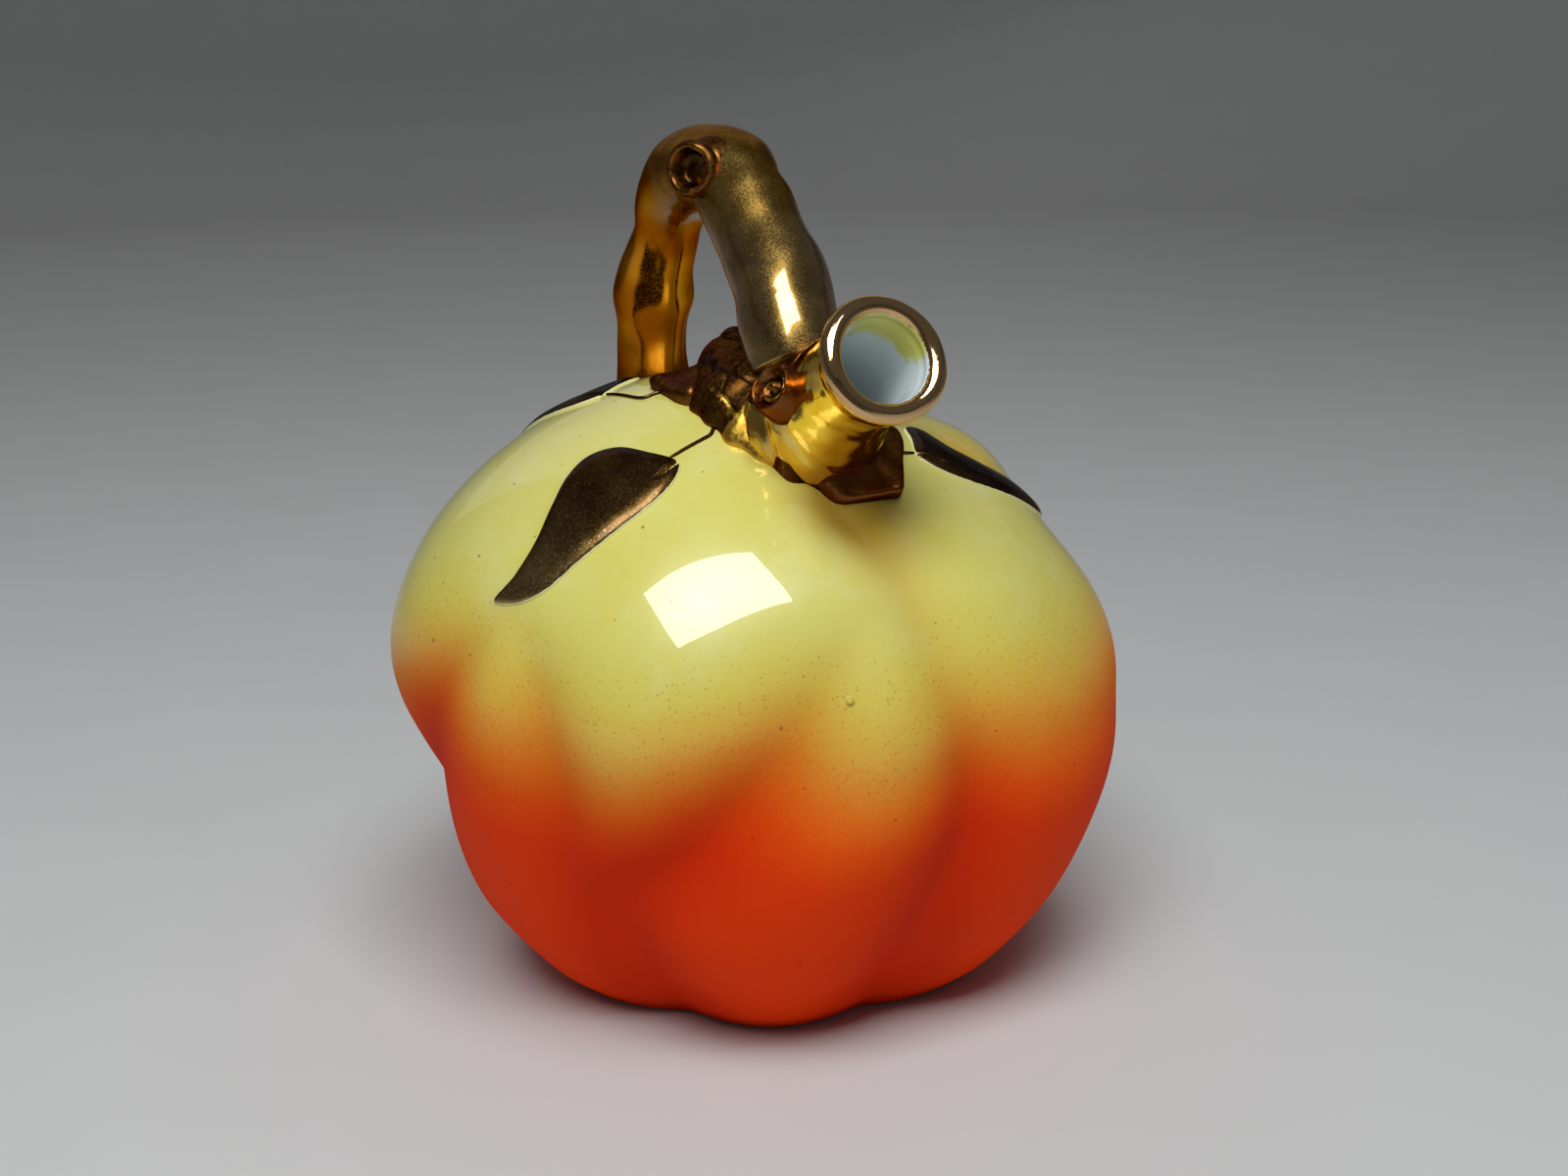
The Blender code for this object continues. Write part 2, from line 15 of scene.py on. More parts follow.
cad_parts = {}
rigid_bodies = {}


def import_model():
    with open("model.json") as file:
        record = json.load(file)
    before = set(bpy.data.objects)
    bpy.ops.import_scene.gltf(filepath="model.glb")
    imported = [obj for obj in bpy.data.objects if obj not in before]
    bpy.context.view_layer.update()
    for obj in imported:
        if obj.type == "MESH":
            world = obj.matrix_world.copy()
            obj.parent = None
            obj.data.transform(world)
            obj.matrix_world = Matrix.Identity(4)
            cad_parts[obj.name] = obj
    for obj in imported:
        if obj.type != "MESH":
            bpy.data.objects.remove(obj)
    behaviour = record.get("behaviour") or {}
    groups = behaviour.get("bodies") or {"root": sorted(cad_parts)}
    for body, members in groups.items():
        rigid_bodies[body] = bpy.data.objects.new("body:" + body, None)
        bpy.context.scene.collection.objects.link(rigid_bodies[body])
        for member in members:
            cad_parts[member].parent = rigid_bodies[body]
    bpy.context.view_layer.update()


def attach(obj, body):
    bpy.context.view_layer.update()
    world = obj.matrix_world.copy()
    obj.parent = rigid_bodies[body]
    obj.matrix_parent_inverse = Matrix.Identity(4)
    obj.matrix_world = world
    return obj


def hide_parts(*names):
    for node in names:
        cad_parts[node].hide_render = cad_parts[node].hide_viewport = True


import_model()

MM = 0.001

# ---- body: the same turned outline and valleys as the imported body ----
BODY_RADIUS = 79.0
BODY_TOP = 130.5
WALL = 4.0
FOOT_RADIUS = 46.0
BULGE_HEIGHT = 62.0
LIFT_BAND = 25.0
LEAN_AZIMUTH = -114.0
BODY_OUTLINE = (  # (radius, height)
    (0.0, BODY_TOP), (12.0, BODY_TOP - 1.0), (25.0, 126.0), (43.0, 118.0), (59.5, 105.5),
    (72.0, 90.0), (BODY_RADIUS - 0.5, 74.0), (BODY_RADIUS, 58.0), (76.0, 42.0), (68.5, 23.0),
    (58.5, 9.0), (51.5, 2.5), (FOOT_RADIUS, 0.0), (25.0, 0.0), (0.0, 0.0),
)
# (height, shift) of the body towards LEAN_AZIMUTH
BODY_LEAN = ((0.0, -1.8), (45.0, -1.8), (65.0, 1.0), (85.0, 4.0), (105.0, 5.0), (135.0, 5.0))
VALLEY_WIDTH = 13.0
VALLEY_SOFTNESS = 3.5
# (azimuth, height, depth) along each kind of valley
STEEP_VALLEY = ((-2, 120, 2.0), (5, 112, 7.0), (8, 102, 4.0), (8, 84, 3.0), (9, 66, 4.5),
                (8, 50, 6.0), (4, 30, 7.0), (2, 10, 10.0), (2, 1, 10.0))
SOFT_VALLEY = ((-64, 102, 0.5), (-60, 92, 2.0), (-54, 80, 3.5), (-53, 61, 4.0), (-55, 42, 4.0),
               (-52, 26, 4.0))
SLANTING_VALLEY = ((5, 99, 1.0), (-8, 86, 3.0), (-20, 68, 5.0), (-34, 50, 6.0), (-48, 35, 7.0),
                   (-50, 20, 8.0), (-47, 8, 10.0), (-47, 1, 10.0))
VALLEYS = (  # (kind, turned by)
    (STEEP_VALLEY, 0), (SLANTING_VALLEY, 0), (SOFT_VALLEY, 0),
    (SLANTING_VALLEY, -61), (SOFT_VALLEY, -61),
    (STEEP_VALLEY, 62), (STEEP_VALLEY, 122), (SLANTING_VALLEY, 182), (SOFT_VALLEY, 182),
)
OUTLINE_POINTS, LEAN_POINTS, VALLEY_POINTS, SPRAY_POINTS = 481, 60, 120, 400
VALLEY_BLEND = 3.0  # the depth is averaged over the points that are nearly nearest
# (azimuth, height, amount, spread round, spread up and down)
SWELLS = ((88, 108, 4.8, 36, 10), (58, 82, 2.6, 16, 18))
BODY_SIDES, BODY_ROWS = 380, 210
CAVITY_SIDES, CAVITY_ROWS = 72, 36
CAVITY_VALLEYS = 0.8

# ---- spout ----
SPOUT_RIM = Vector((0.0, -63.0, 141.0)) * MM
SPOUT_SLOPE = 27.5
SPOUT_LENGTH = 61.0
SPOUT_RADIUS = 10.5
SPOUT_BORE = 8.0
LIP_RADIUS = 12.6
LIP_BORE = 8.6
SPOUT_SIDES = 160
ROOT_CREASES = ((27.0, 0.5, 2.0), (33.0, 0.8, 2.5), (39.0, 0.7, 2.0))  # (down, depth, waviness)
HOLE_RADIUS, HOLE_LENGTH = 9.4, 50.0  # the room made for the spout
HOLE_BEYOND = 4.0  # it starts this far behind the spout's end

# ---- handle: (y, height, radius) along the branch, front foot first ----
BRANCH = (
    (-24.0, 133.0, 10.8), (-20.8, 139.0, 10.2), (-18.2, 144.0, 10.0), (-14.4, 149.5, 9.8),
    (-6.6, 157.0, 9.7), (2.2, 165.0, 9.6), (13.0, 170.4, 9.6), (27.0, 170.5, 9.3),
    (38.5, 167.0, 9.2), (47.5, 159.0, 7.6), (54.0, 150.0, 8.3), (58.0, 141.0, 9.0),
    (60.0, 132.0, 8.2), (60.2, 122.5, 7.9), (58.5, 114.0, 8.4), (55.0, 106.5, 9.2),
    (51.5, 101.0, 9.6),
)
BRANCH_SIDES, BRANCH_RINGS = 96, 280
BUMPS = (
    # (share of the way along, angle round it, height, length): 0 degrees is the right side, 90 the
    # outside of the arch
    (0.05, 120, 2.2, 0.06), (0.15, 0, 1.0, 0.05), (0.285, 10, -0.8, 0.03),
    (0.35, 10, 1.5, 0.045), (0.20, 180, -0.4, 0.06), (0.48, 90, 0.3, 0.08), (0.57, 200, 1.1, 0.04),
    (0.63, 180, -0.6, 0.03), (0.72, 180, 0.5, 0.04), (0.74, 0, 0.7, 0.03), (0.80, 0, 0.2, 0.03),
    (0.86, 0, 0.8, 0.05), (0.86, 180, 0.4, 0.04),
)
STUB_FACE = Vector((-12.3, 5.0, 172.3)) * MM
STUB_DIRECTION = Vector((-0.9, -0.41, 0.1)).normalized()
STUB_RADIUS = 5.8
STUB_SIDES, KNOT_SIDES = 72, 110
KNOT_FACE = Vector((-13.6, -41.0, 133.0)) * MM
KNOT_DIRECTION = Vector((-0.84, -0.26, 0.48)).normalized()
KNOT_RADIUS = 4.9
KNOT_PROUD = 1.0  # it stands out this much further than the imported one

# ---- collar and sepals ----
COLLAR_MIDDLE = (0.0, -20.0)
COLLAR_OUTLINE = ((0, 2), (-10, 0), (-17, -8), (-20, -18), (-19, -27), (-15.5, -34), (-9, -40),
                  (0, -41), (8, -37), (14, -31.5), (18.5, -26), (20, -18), (17, -8), (10, 0))
COLLAR_PEAK = 10.0
COLLAR_ROLL = 2.0
COLLAR_SIDES = 420
COLLAR_UNDER, SEPAL_UNDER, LEAF_UNDER = 7, 3, 4  # every so many rings are kept below
HUMPS = ((-9, -2, 5.0, 7.0), (10, -8, 3.0, 6.0), (1, 0, 2.0, 5.0))  # (x, y, height, spread)
SEPALS = {
    # name: (azimuth about the collar's middle, distance of the near edge, length, width, curl)
    "sepal_left": (-131, 18.0, 12.5, 18.0, 1.0),
    "sepal_right": (131, 18.0, 12.5, 18.0, 1.0),
    "sepal_back": (180, 19.5, 13.5, 14.0, 4.0),
    "sepal_front": (24, 16.0, 12.0, 24.0, 1.6),
}
SEPAL_OUTLINE = ((-0.5, 0.0), (-0.25, -0.03), (0.0, 0.0), (0.25, -0.03), (0.5, 0.0), (0.46, 0.3),
                 (0.28, 0.6), (0.1, 0.88), (0.0, 1.0), (-0.1, 0.88), (-0.28, 0.6), (-0.46, 0.3))
SEPAL_SIDES = 120

# ---- leaves: outline (along, across) from the stem end to the tip ----
LEAF_OUTLINE = ((0.3, -0.4), (2.8, -5.4), (6.6, -11.9), (12.3, -14.6), (18.1, -12.8), (23.7, -8.6),
                (30.6, -3.8), (37.7, -1.5), (44.6, -1.4), (41.0, 4.3), (35.1, 7.6), (27.7, 8.3),
                (18.4, 8.5), (10.2, 7.9), (4.4, 6.0), (0.6, 2.6))
LEAF_SLIT = ((-0.6, 0.6), (6.2, 3.3))  # a slit runs in beside the stem and parts off a lobe
LEAF_MIDDLE = (17.0, -2.0)
LEAF_LENGTH = 44.6
LEAF_RELIEF = 1.3
LEAF_ROUND = 3.6  # the edge is rounded over this width
LEAF_PAD = 0.2  # the body itself swells this much under a leaf
LEAF_PLANE = 20.0  # a leaf is pressed on the body from this far out
LEAF_SIDES = 260
# (azimuth, radius) of the stem end and of the direction of the tip, and the stem's path (x, y), all
# as on the left side
BACK_LEAF = ((-110, 31), (-150, 66),
             ((-17.0, -6.0), (-20.5, -4.2), (-23.8, -4.1), (-27.0, -2.6), (-29.3, 10.0)))
LEAVES = {
    # name: (1, or -1 where it is mirrored to the right side, then the same three)
    "front_left": (1, (-44, 42), (-69, 72),
                   ((-16.5, -21.0), (-18.7, -23.7), (-20.4, -25.9), (-22.7, -26.8), (-31.0, -29.2))),
    "front_right": (-1, (-30.5, 40), (-69, 60),
                    ((-14.0, -34.5), (-16.0, -34.9), (-18.0, -34.9), (-20.5, -34.4))),
    "back_left": (1, *BACK_LEAF),
    "back_right": (-1, *BACK_LEAF),
}
STEM_WIDTH = 0.9
STEM_RELIEF = 0.7
STEM_SIDES, STEM_RINGS = 16, 60

HIGH = 0.2  # things drawn in plan are dropped from this height
RIGHT = np.array((1.0, 0, 0))


# ---- geometry helpers ----
def smooth_curve(points, count):
    """Catmull-Rom curve through points, as count points evenly spaced along its length."""
    points = np.asarray(points, float)
    ends = np.vstack([2 * points[0] - points[1], points, 2 * points[-1] - points[-2]])
    t = np.linspace(0, 1, 24, endpoint=False)[:, None]
    spans = []
    for a, b, c, d in zip(ends, ends[1:], ends[2:], ends[3:]):
        spans.append(0.5 * (2 * b + (c - a) * t + (2 * a - 5 * b + 4 * c - d) * t**2
                            + (3 * b - 3 * c + d - a) * t**3))
    dense = np.vstack([*spans, points[-1:]])
    steps = np.linalg.norm(np.diff(dense, axis=0), axis=1)
    travelled = np.concatenate([[0.0], np.cumsum(steps)])
    wanted = np.linspace(0, travelled[-1], count)
    return np.stack([np.interp(wanted, travelled, column) for column in dense.T], axis=1)


def closed_outline(points, count):
    """Smooth closed outline through points, as count points without a repeated end."""
    points = np.asarray(points, float)
    wrapped = np.vstack([points[-2:], points, points[:3]])
    curve = smooth_curve(wrapped, 40 * len(wrapped))
    half = len(curve) // 2
    away = np.linalg.norm(curve - points[0], axis=1)
    loop = curve[away[:half].argmin(): half + away[half:].argmin() + 1]
    return smooth_curve(loop, count + 1)[:-1]


def smoothstep(value, low, high):
    share = np.clip((value - low) / (high - low), 0, 1)
    return share * share * (3 - 2 * share)


def hump(value, middle, width):
    """A smooth bump of height 1."""
    return np.exp(-(((value - middle) / width) ** 2))


def full_turn(count):
    """Angles of count spokes, evenly round a circle."""
    return np.arange(count) * 2 * np.pi / count


def spokes(turn, first, second):
    """Directions at the angles of turn, from the first direction towards the second."""
    return np.cos(turn)[:, None] * first + np.sin(turn)[:, None] * second


def over_and_under(upper, under, every):
    """Rings out over the top of a thin piece, then every so many of those below it, inwards."""
    return np.concatenate([upper, under[::-every]])


def rough(points, grain, octaves=1):
    """Smooth noise, about -1 to 1, at each point; grain is the size of its waves in millimetres."""
    points = np.asarray(points)
    flat = (points.reshape(-1, 3) / (grain * MM)).tolist()
    total = np.zeros(len(flat))
    for octave in range(octaves):
        factor = 2.0**octave
        total += [noise.noise(Vector(point) * factor) / factor for point in flat]
    return total.reshape(points.shape[:-1])


def loft(name, rings, material, layers=None, joined=False):
    """Closed smooth piece through rings of points (ring, side, xyz): capped at both ends with a
    middle point, or joined from the last ring to the first.  Layers are numbers per point."""
    rings = np.asarray(rings)
    count, sides, _ = rings.shape
    index = np.arange(count * sides).reshape(count, sides)
    near = index if joined else index[:-1]
    far = np.roll(index, -1, axis=0) if joined else index[1:]
    quads = np.stack([near, np.roll(near, -1, 1), np.roll(far, -1, 1), far], -1).reshape(-1, 4)
    faces = quads.tolist()
    points = rings.reshape(-1, 3)
    if not joined:
        points = np.vstack([points, rings[0].mean(0), rings[-1].mean(0)])
        first, last = count * sides, count * sides + 1
        for a, b, c, d in zip(index[0], np.roll(index[0], -1), index[-1], np.roll(index[-1], -1)):
            faces.append((first, int(b), int(a)))
            faces.append((last, int(c), int(d)))
    mesh = bpy.data.meshes.new(name)
    mesh.from_pydata(points.tolist(), [], faces)
    for layer, values in (layers or {}).items():
        values = np.asarray(values, float)
        flat = values.reshape(-1)
        if not joined:
            flat = np.concatenate([flat, [values[0].mean(), values[-1].mean()]])
        mesh.attributes.new(layer, "FLOAT", "POINT").data.foreach_set("value", flat)
    mesh.materials.append(material)
    item = bpy.data.objects.new(name, mesh)
    bpy.context.collection.objects.link(item)
    face_outwards(item)
    mesh.shade_smooth()
    return item


def face_outwards(item):
    """Turn the faces over if the piece is inside out."""
    mesh = item.data
    mesh.calc_loop_triangles()
    corners = np.empty(len(mesh.loop_triangles) * 3, int)
    mesh.loop_triangles.foreach_get("vertices", corners)
    places = np.empty(len(mesh.vertices) * 3)
    mesh.vertices.foreach_get("co", places)
    a, b, c = places.reshape(-1, 3)[corners.reshape(-1, 3)].transpose(1, 0, 2)
    if np.einsum("ij,ij->i", a, np.cross(b, c)).sum() < 0:
        mesh.flip_normals()


def dress(piece, slot, *nodes):
    """The piece rides on the jug and stands for CAD nodes, which are hidden; slot is not used."""
    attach(piece, "root")
    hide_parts(*nodes)


# ---- material helper ----
class Paint:
    """A procedural material: a Principled shader and short ways to add nodes before it."""

    def __init__(self, name, **sockets):
        self.material = bpy.data.materials.new(name)
        self.material.use_nodes = True
        self.tree = self.material.node_tree
        self.shader = self.tree.nodes["Principled BSDF"]
        self.place = self.add("TexCoord").outputs["Object"]
        for socket, value in sockets.items():
            self.set(socket.replace("_", " "), value)

    def set(self, socket, value):
        self.feed(self.shader.inputs[socket], value)

    def feed(self, socket, value):
        if isinstance(value, bpy.types.NodeSocket):
            self.tree.links.new(value, socket)
        else:
            socket.default_value = (*value, 1.0) if socket.type == "RGBA" else value

    def add(self, kind, inputs=None, **settings):
        node = self.tree.nodes.new("ShaderNode" + kind)
        for key, value in settings.items():
            setattr(node, key, value)
        for key, value in (inputs or {}).items():
            self.feed(node.inputs[key], value)
        return node

    def layer(self, name):
        return self.add("Attribute", attribute_name=name).outputs["Fac"]

    def axis(self, letter):
        return self.add("SeparateXYZ", {0: self.place}).outputs[letter]

    def noise(self, grain, detail=2.0, roughness=0.5):
        """Noise whose waves are about grain millimetres long."""
        inputs = {"Vector": self.place, "Scale": 1 / (grain * MM), "Detail": detail,
                  "Roughness": roughness}
        return self.add("TexNoise", inputs).outputs["Fac"]

    def specks(self, spacing, size):
        """1 inside small round specks, 0 elsewhere; a speck's size varies from cell to cell."""
        inputs = {"Vector": self.place, "Scale": 1 / (spacing * MM)}
        cells = self.add("TexVoronoi", inputs)
        chance = self.add("SeparateColor", {0: cells.outputs["Color"]}).outputs[0]
        limit = self.times(chance, size / spacing)
        return self.math("LESS_THAN", cells.outputs["Distance"], limit)

    def math(self, operation, a, b):
        return self.add("Math", {0: a, 1: b}, operation=operation).outputs[0]

    def plus(self, a, b):
        return self.math("ADD", a, b)

    def times(self, a, b):
        return self.math("MULTIPLY", a, b)

    def wander(self, amount, *noise):
        """Noise that goes half of amount either way."""
        return self.times(self.math("SUBTRACT", self.noise(*noise), 0.5), amount)

    def span(self, value, low, high, to_low=0.0, to_high=1.0, eased=True):
        """Value from low..high to to_low..to_high, clamped."""
        inputs = {"Value": value, "From Min": low, "From Max": high, "To Min": to_low,
                  "To Max": to_high}
        kind = "SMOOTHSTEP" if eased else "LINEAR"
        return self.add("MapRange", inputs, interpolation_type=kind).outputs["Result"]

    def ramp(self, value, stops):
        node = self.add("ValToRGB", {"Fac": value})
        elements = node.color_ramp.elements
        while len(elements) < len(stops):
            elements.new(0.5)
        for element, (position, colour) in zip(elements, stops):
            element.position = position
            element.color = (*colour, 1.0)
        return node.outputs["Color"]

    def mix(self, share, a, b, amount=None, blend="MIX"):
        inputs = {0: self.times(share, amount) if amount else share, 6: a, 7: b}
        return self.add("Mix", inputs, data_type="RGBA", blend_type=blend).outputs[2]

    def bump(self, height, depth):
        """Bump of the given depth in millimetres."""
        inputs = {"Height": height, "Distance": depth * MM}
        self.set("Normal", self.add("Bump", inputs).outputs["Normal"])


# ---- materials ----
# (azimuth, height) of the middle of the change from yellow to orange
SPRAY_LINE = ((-180, 67), (-140, 72), (-110, 70), (-80, 77), (-61, 70), (-45, 65), (-34, 67),
              (-22, 68), (-11, 64), (0, 65), (15, 70), (29, 71), (39, 74), (60, 77), (90, 69),
              (120, 73), (150, 66), (180, 67))
SPRAY_IN_VALLEYS = 1.7  # it climbs by this much of the valley's depth
SPRAY_REACH = 27.0  # it is all yellow this far above that line, all orange-red below
PIMPLE = (-12.5, -72.2, 79.1)  # a drop in the glaze
GOLD = (0.80, 0.46, 0.06)


def glaze_material():
    """Yellow glaze, airbrushed orange-red from below, under a thick clear coat."""
    paint = Paint("pumpkin_glaze", Roughness=0.3, Coat_IOR=1.55)
    height = paint.axis("Z")
    above = paint.math("SUBTRACT", height, paint.layer("spray"))
    blown = paint.plus(paint.wander(5 * MM, 20.0, 2.0), paint.wander(7 * MM, 0.8, 2.0))
    above = paint.plus(above, blown)
    spray = paint.span(above, -SPRAY_REACH * MM, SPRAY_REACH * MM, eased=False)
    colour = paint.ramp(spray, (
        (0.0, (0.94, 0.052, 0.001)), (0.18, (0.95, 0.10, 0.004)), (0.31, (0.91, 0.19, 0.014)),
        (0.44, (0.83, 0.31, 0.03)), (0.57, (0.77, 0.47, 0.06)), (0.71, (0.74, 0.60, 0.10)),
        (0.92, (0.73, 0.66, 0.155))))
    paint.set("Specular IOR Level", paint.span(spray, 0.4, 0.9, 0.0, 0.4))
    paint.set("Coat Weight", paint.span(spray, 0.3, 0.75, 0.12, 1.0))
    paint.set("Coat Roughness", paint.span(spray, 0.5, 0.8, 0.35, 0.025))
    upper = paint.span(spray, 0.6, 0.9)
    pale = paint.times(paint.span(paint.noise(16.0, 3.0, 0.6), 0.45, 0.75), upper)
    colour = paint.mix(pale, colour, (0.77, 0.74, 0.32), 0.5)
    rich = paint.times(paint.span(paint.noise(23.0, 3.0, 0.6), 0.55, 0.3), upper)
    colour = paint.mix(rich, colour, (0.70, 0.59, 0.07), 0.45)
    # Painted shade, partly a deeper spray: the valleys are darkened and turned more orange by their
    # depth.
    valley_spray_and_shade = paint.span(paint.layer("valley"), 1.0 * MM, 6 * MM)
    colour = paint.mix(valley_spray_and_shade, colour, (0.80, 0.56, 0.3), blend="MULTIPLY")
    band = paint.times(paint.span(spray, 0.2, 0.45), paint.span(spray, 1.0, 0.7))
    fine = paint.times(paint.specks(0.9, 0.27), band)
    colour = paint.mix(fine, colour, (0.50, 0.07, 0.01), 0.4)
    colour = paint.mix(paint.specks(5.0, 0.42), colour, (0.25, 0.05, 0.01), 0.6)
    bare = paint.span(height, 0.7 * MM, 0.3 * MM)
    colour = paint.mix(bare, colour, (0.72, 0.63, 0.52))
    paint.set("Base Color", colour)
    inputs = {0: paint.place, 1: tuple(value * MM for value in PIMPLE)}
    away = paint.add("VectorMath", inputs, operation="DISTANCE").outputs["Value"]
    pimple = paint.span(away, 1.1 * MM, 0.2 * MM, 0.0, 14.0)
    paint.bump(paint.plus(paint.noise(5.0, 3.0, 0.45), pimple), 0.04)
    return paint.material


def lustre(name, dark, bright, shine, coat, grain=0.4, depth=0.012, coat_ior=1.5):
    """Metal lustre over glaze: dark where it is thin, with a fine sparkling grain."""
    paint = Paint(name, Metallic=1.0, Coat_Weight=coat, Coat_Roughness=0.05, Coat_IOR=coat_ior)
    paint.set("Specular Tint", bright)
    fine = paint.noise(grain, 2.0, 0.6)
    cloud = paint.noise(8.0, 3.0, 0.55)
    tone = paint.plus(paint.span(fine, 0.35, 0.8, 0.0, 0.35), paint.span(cloud, 0.3, 0.8))
    colour = paint.mix(tone, dark, bright, 0.74)
    glint = tuple(min(1.0, 2.2 * part) for part in bright)
    colour = paint.mix(paint.specks(1.2, 0.22), colour, glint, 0.45)
    paint.set("Roughness", paint.span(fine, 0.3, 0.75, shine * 0.8, shine * 1.5))
    paint.bump(paint.plus(fine, paint.times(cloud, 0.5)), depth)
    return paint, colour


def branch_material():
    """Dark bronze on the front leg, turning to smooth copper down the back leg."""
    paint, colour = lustre("branch_lustre", (0.22, 0.12, 0.022), (0.54, 0.33, 0.085),
                           shine=0.27, coat=1.0, coat_ior=1.7)
    wander = paint.times(paint.noise(9.0), 12 * MM)
    back = paint.span(paint.plus(paint.axis("Y"), wander), 34 * MM, 50 * MM)
    streak = paint.span(paint.noise(13.0, 1.0, 0.4), 0.35, 0.68)
    copper = paint.mix(streak, (0.42, 0.12, 0.004), (0.66, 0.26, 0.015))
    paint.set("Base Color", paint.mix(back, colour, copper))
    coated = paint.times(paint.span(back, 0.2, 0.8, 1.0, 0.0),
                         paint.span(paint.axis("Z"), 168 * MM, 156 * MM, 0.1, 1.0))
    paint.set("Coat Weight", coated)
    grainy = paint.span(paint.noise(0.4, 2.0, 0.6), 0.3, 0.75, 0.22, 0.4)
    paint.set("Roughness", paint.math("SUBTRACT", grainy, paint.times(back, 0.14)))
    return paint.material


def bark_material():
    """Bark of the collar: hollows darkened with painted shade, brown ridges, gold where the brush
    was loaded.
    """
    paint, colour = lustre("bark_lustre", (0.12, 0.045, 0.008), (0.28, 0.12, 0.025),
                           shine=0.34, coat=0.1, grain=0.8, depth=0.015)
    forward = paint.span(paint.axis("Y"), -38 * MM, -46 * MM, 0.0, 0.5)
    reddish = paint.plus(paint.span(paint.noise(7.0, 2.0), 0.5, 0.7, 0.0, 0.5), forward)
    colour = paint.mix(reddish, colour, (0.20, 0.04, 0.008))
    # Painted shade: the bark is painted nearly black where the relief layer is low, in its hollows
    # and cracks.
    hollow = paint.span(paint.layer("relief"), 0.45, 0.05, 0.0, 0.8)
    colour = paint.mix(hollow, colour, (0.02, 0.008, 0.003))
    gilded = paint.plus(paint.layer("gilding"), paint.wander(1.1, 1.8, 3.0))
    gilded = paint.span(gilded, 0.46, 0.56)
    paint.set("Base Color", paint.mix(gilded, colour, GOLD))
    return paint.material


def leaf_material():
    """Dark bronze leaf with a sparkling grain and a painted sheen towards the tip; thin pale glaze
    shows along its edge.
    """
    paint, colour = lustre("leaf_lustre", (0.06, 0.026, 0.005), (0.17, 0.09, 0.022),
                           shine=0.28, coat=0.25, grain=0.5, depth=0.008)
    tip_sheen_share = paint.layer("tip_sheen_share")
    # Painted sheen: the lustre is painted lighter towards the tip, where the highlight falls.
    colour = paint.mix(paint.span(tip_sheen_share, 0.4, 1.0), colour, (0.45, 0.30, 0.11), 0.75)
    # Painted glints: bright specks, more of them towards the tip.
    shown = paint.times(paint.specks(0.5, 0.2), paint.span(tip_sheen_share, 0.2, 0.9, 0.12, 0.7))
    colour = paint.mix(shown, colour, (0.62, 0.46, 0.22))
    edge = paint.plus(paint.layer("edge"), paint.wander(0.25, 1.6, 3.0))
    edge = paint.span(edge, 0.36, 0.28)
    paint.set("Base Color", paint.mix(edge, colour, (0.80, 0.76, 0.34)))
    paint.set("Metallic", paint.math("SUBTRACT", 1.0, edge))
    return paint.material


def spout_material():
    """Bright gold outside; white glaze in the bore, stained yellow near the top of the mouth."""
    paint, colour = lustre("spout_lustre", (0.88, 0.54, 0.06), (1.0, 0.80, 0.24),
                           shine=0.16, coat=0.5, grain=0.7, depth=0.02)
    # Painted reflection: the root is painted a mottled darker copper, standing in for the coppery
    # reflections on the neck.
    root = paint.times(paint.span(paint.layer("down"), 18.0, 36.0),
                       paint.span(paint.noise(6.0, 3.0), 0.3, 0.6, 0.4, 1.0))
    colour = paint.mix(root, colour, (0.52, 0.22, 0.02), 0.75)
    lip = paint.span(paint.layer("lip"), 0.2, 0.8)
    colour = paint.mix(lip, colour, (0.62, 0.37, 0.20), 0.85)
    paint.set("Roughness", paint.span(lip, 0.0, 1.0, 0.15, 0.07))
    # Dark bands on the outer and inner flanks of the lip's roll, made ragged by noise.
    lip_dark_bands = paint.plus(paint.layer("lip_dark_bands"), paint.wander(1.0, 1.5))
    colour = paint.mix(paint.span(lip_dark_bands, 0.4, 0.8, 0.0, 0.9), colour, (0.07, 0.025, 0.008))
    white = paint.plus(paint.layer("bore"), paint.wander(2.2, 1.2, 4.0, 0.65))
    white = paint.span(white, 0.1, 0.2)
    stain = paint.plus(paint.layer("stain"), paint.wander(1.2, 4.0, 3.0))
    stain = paint.span(stain, 0.35, 0.75)
    inside = paint.mix(stain, (0.76, 0.82, 0.84), (0.68, 0.66, 0.15))
    paint.set("Base Color", paint.mix(white, colour, inside))
    paint.set("Metallic", paint.math("SUBTRACT", 1.0, white))
    return paint.material


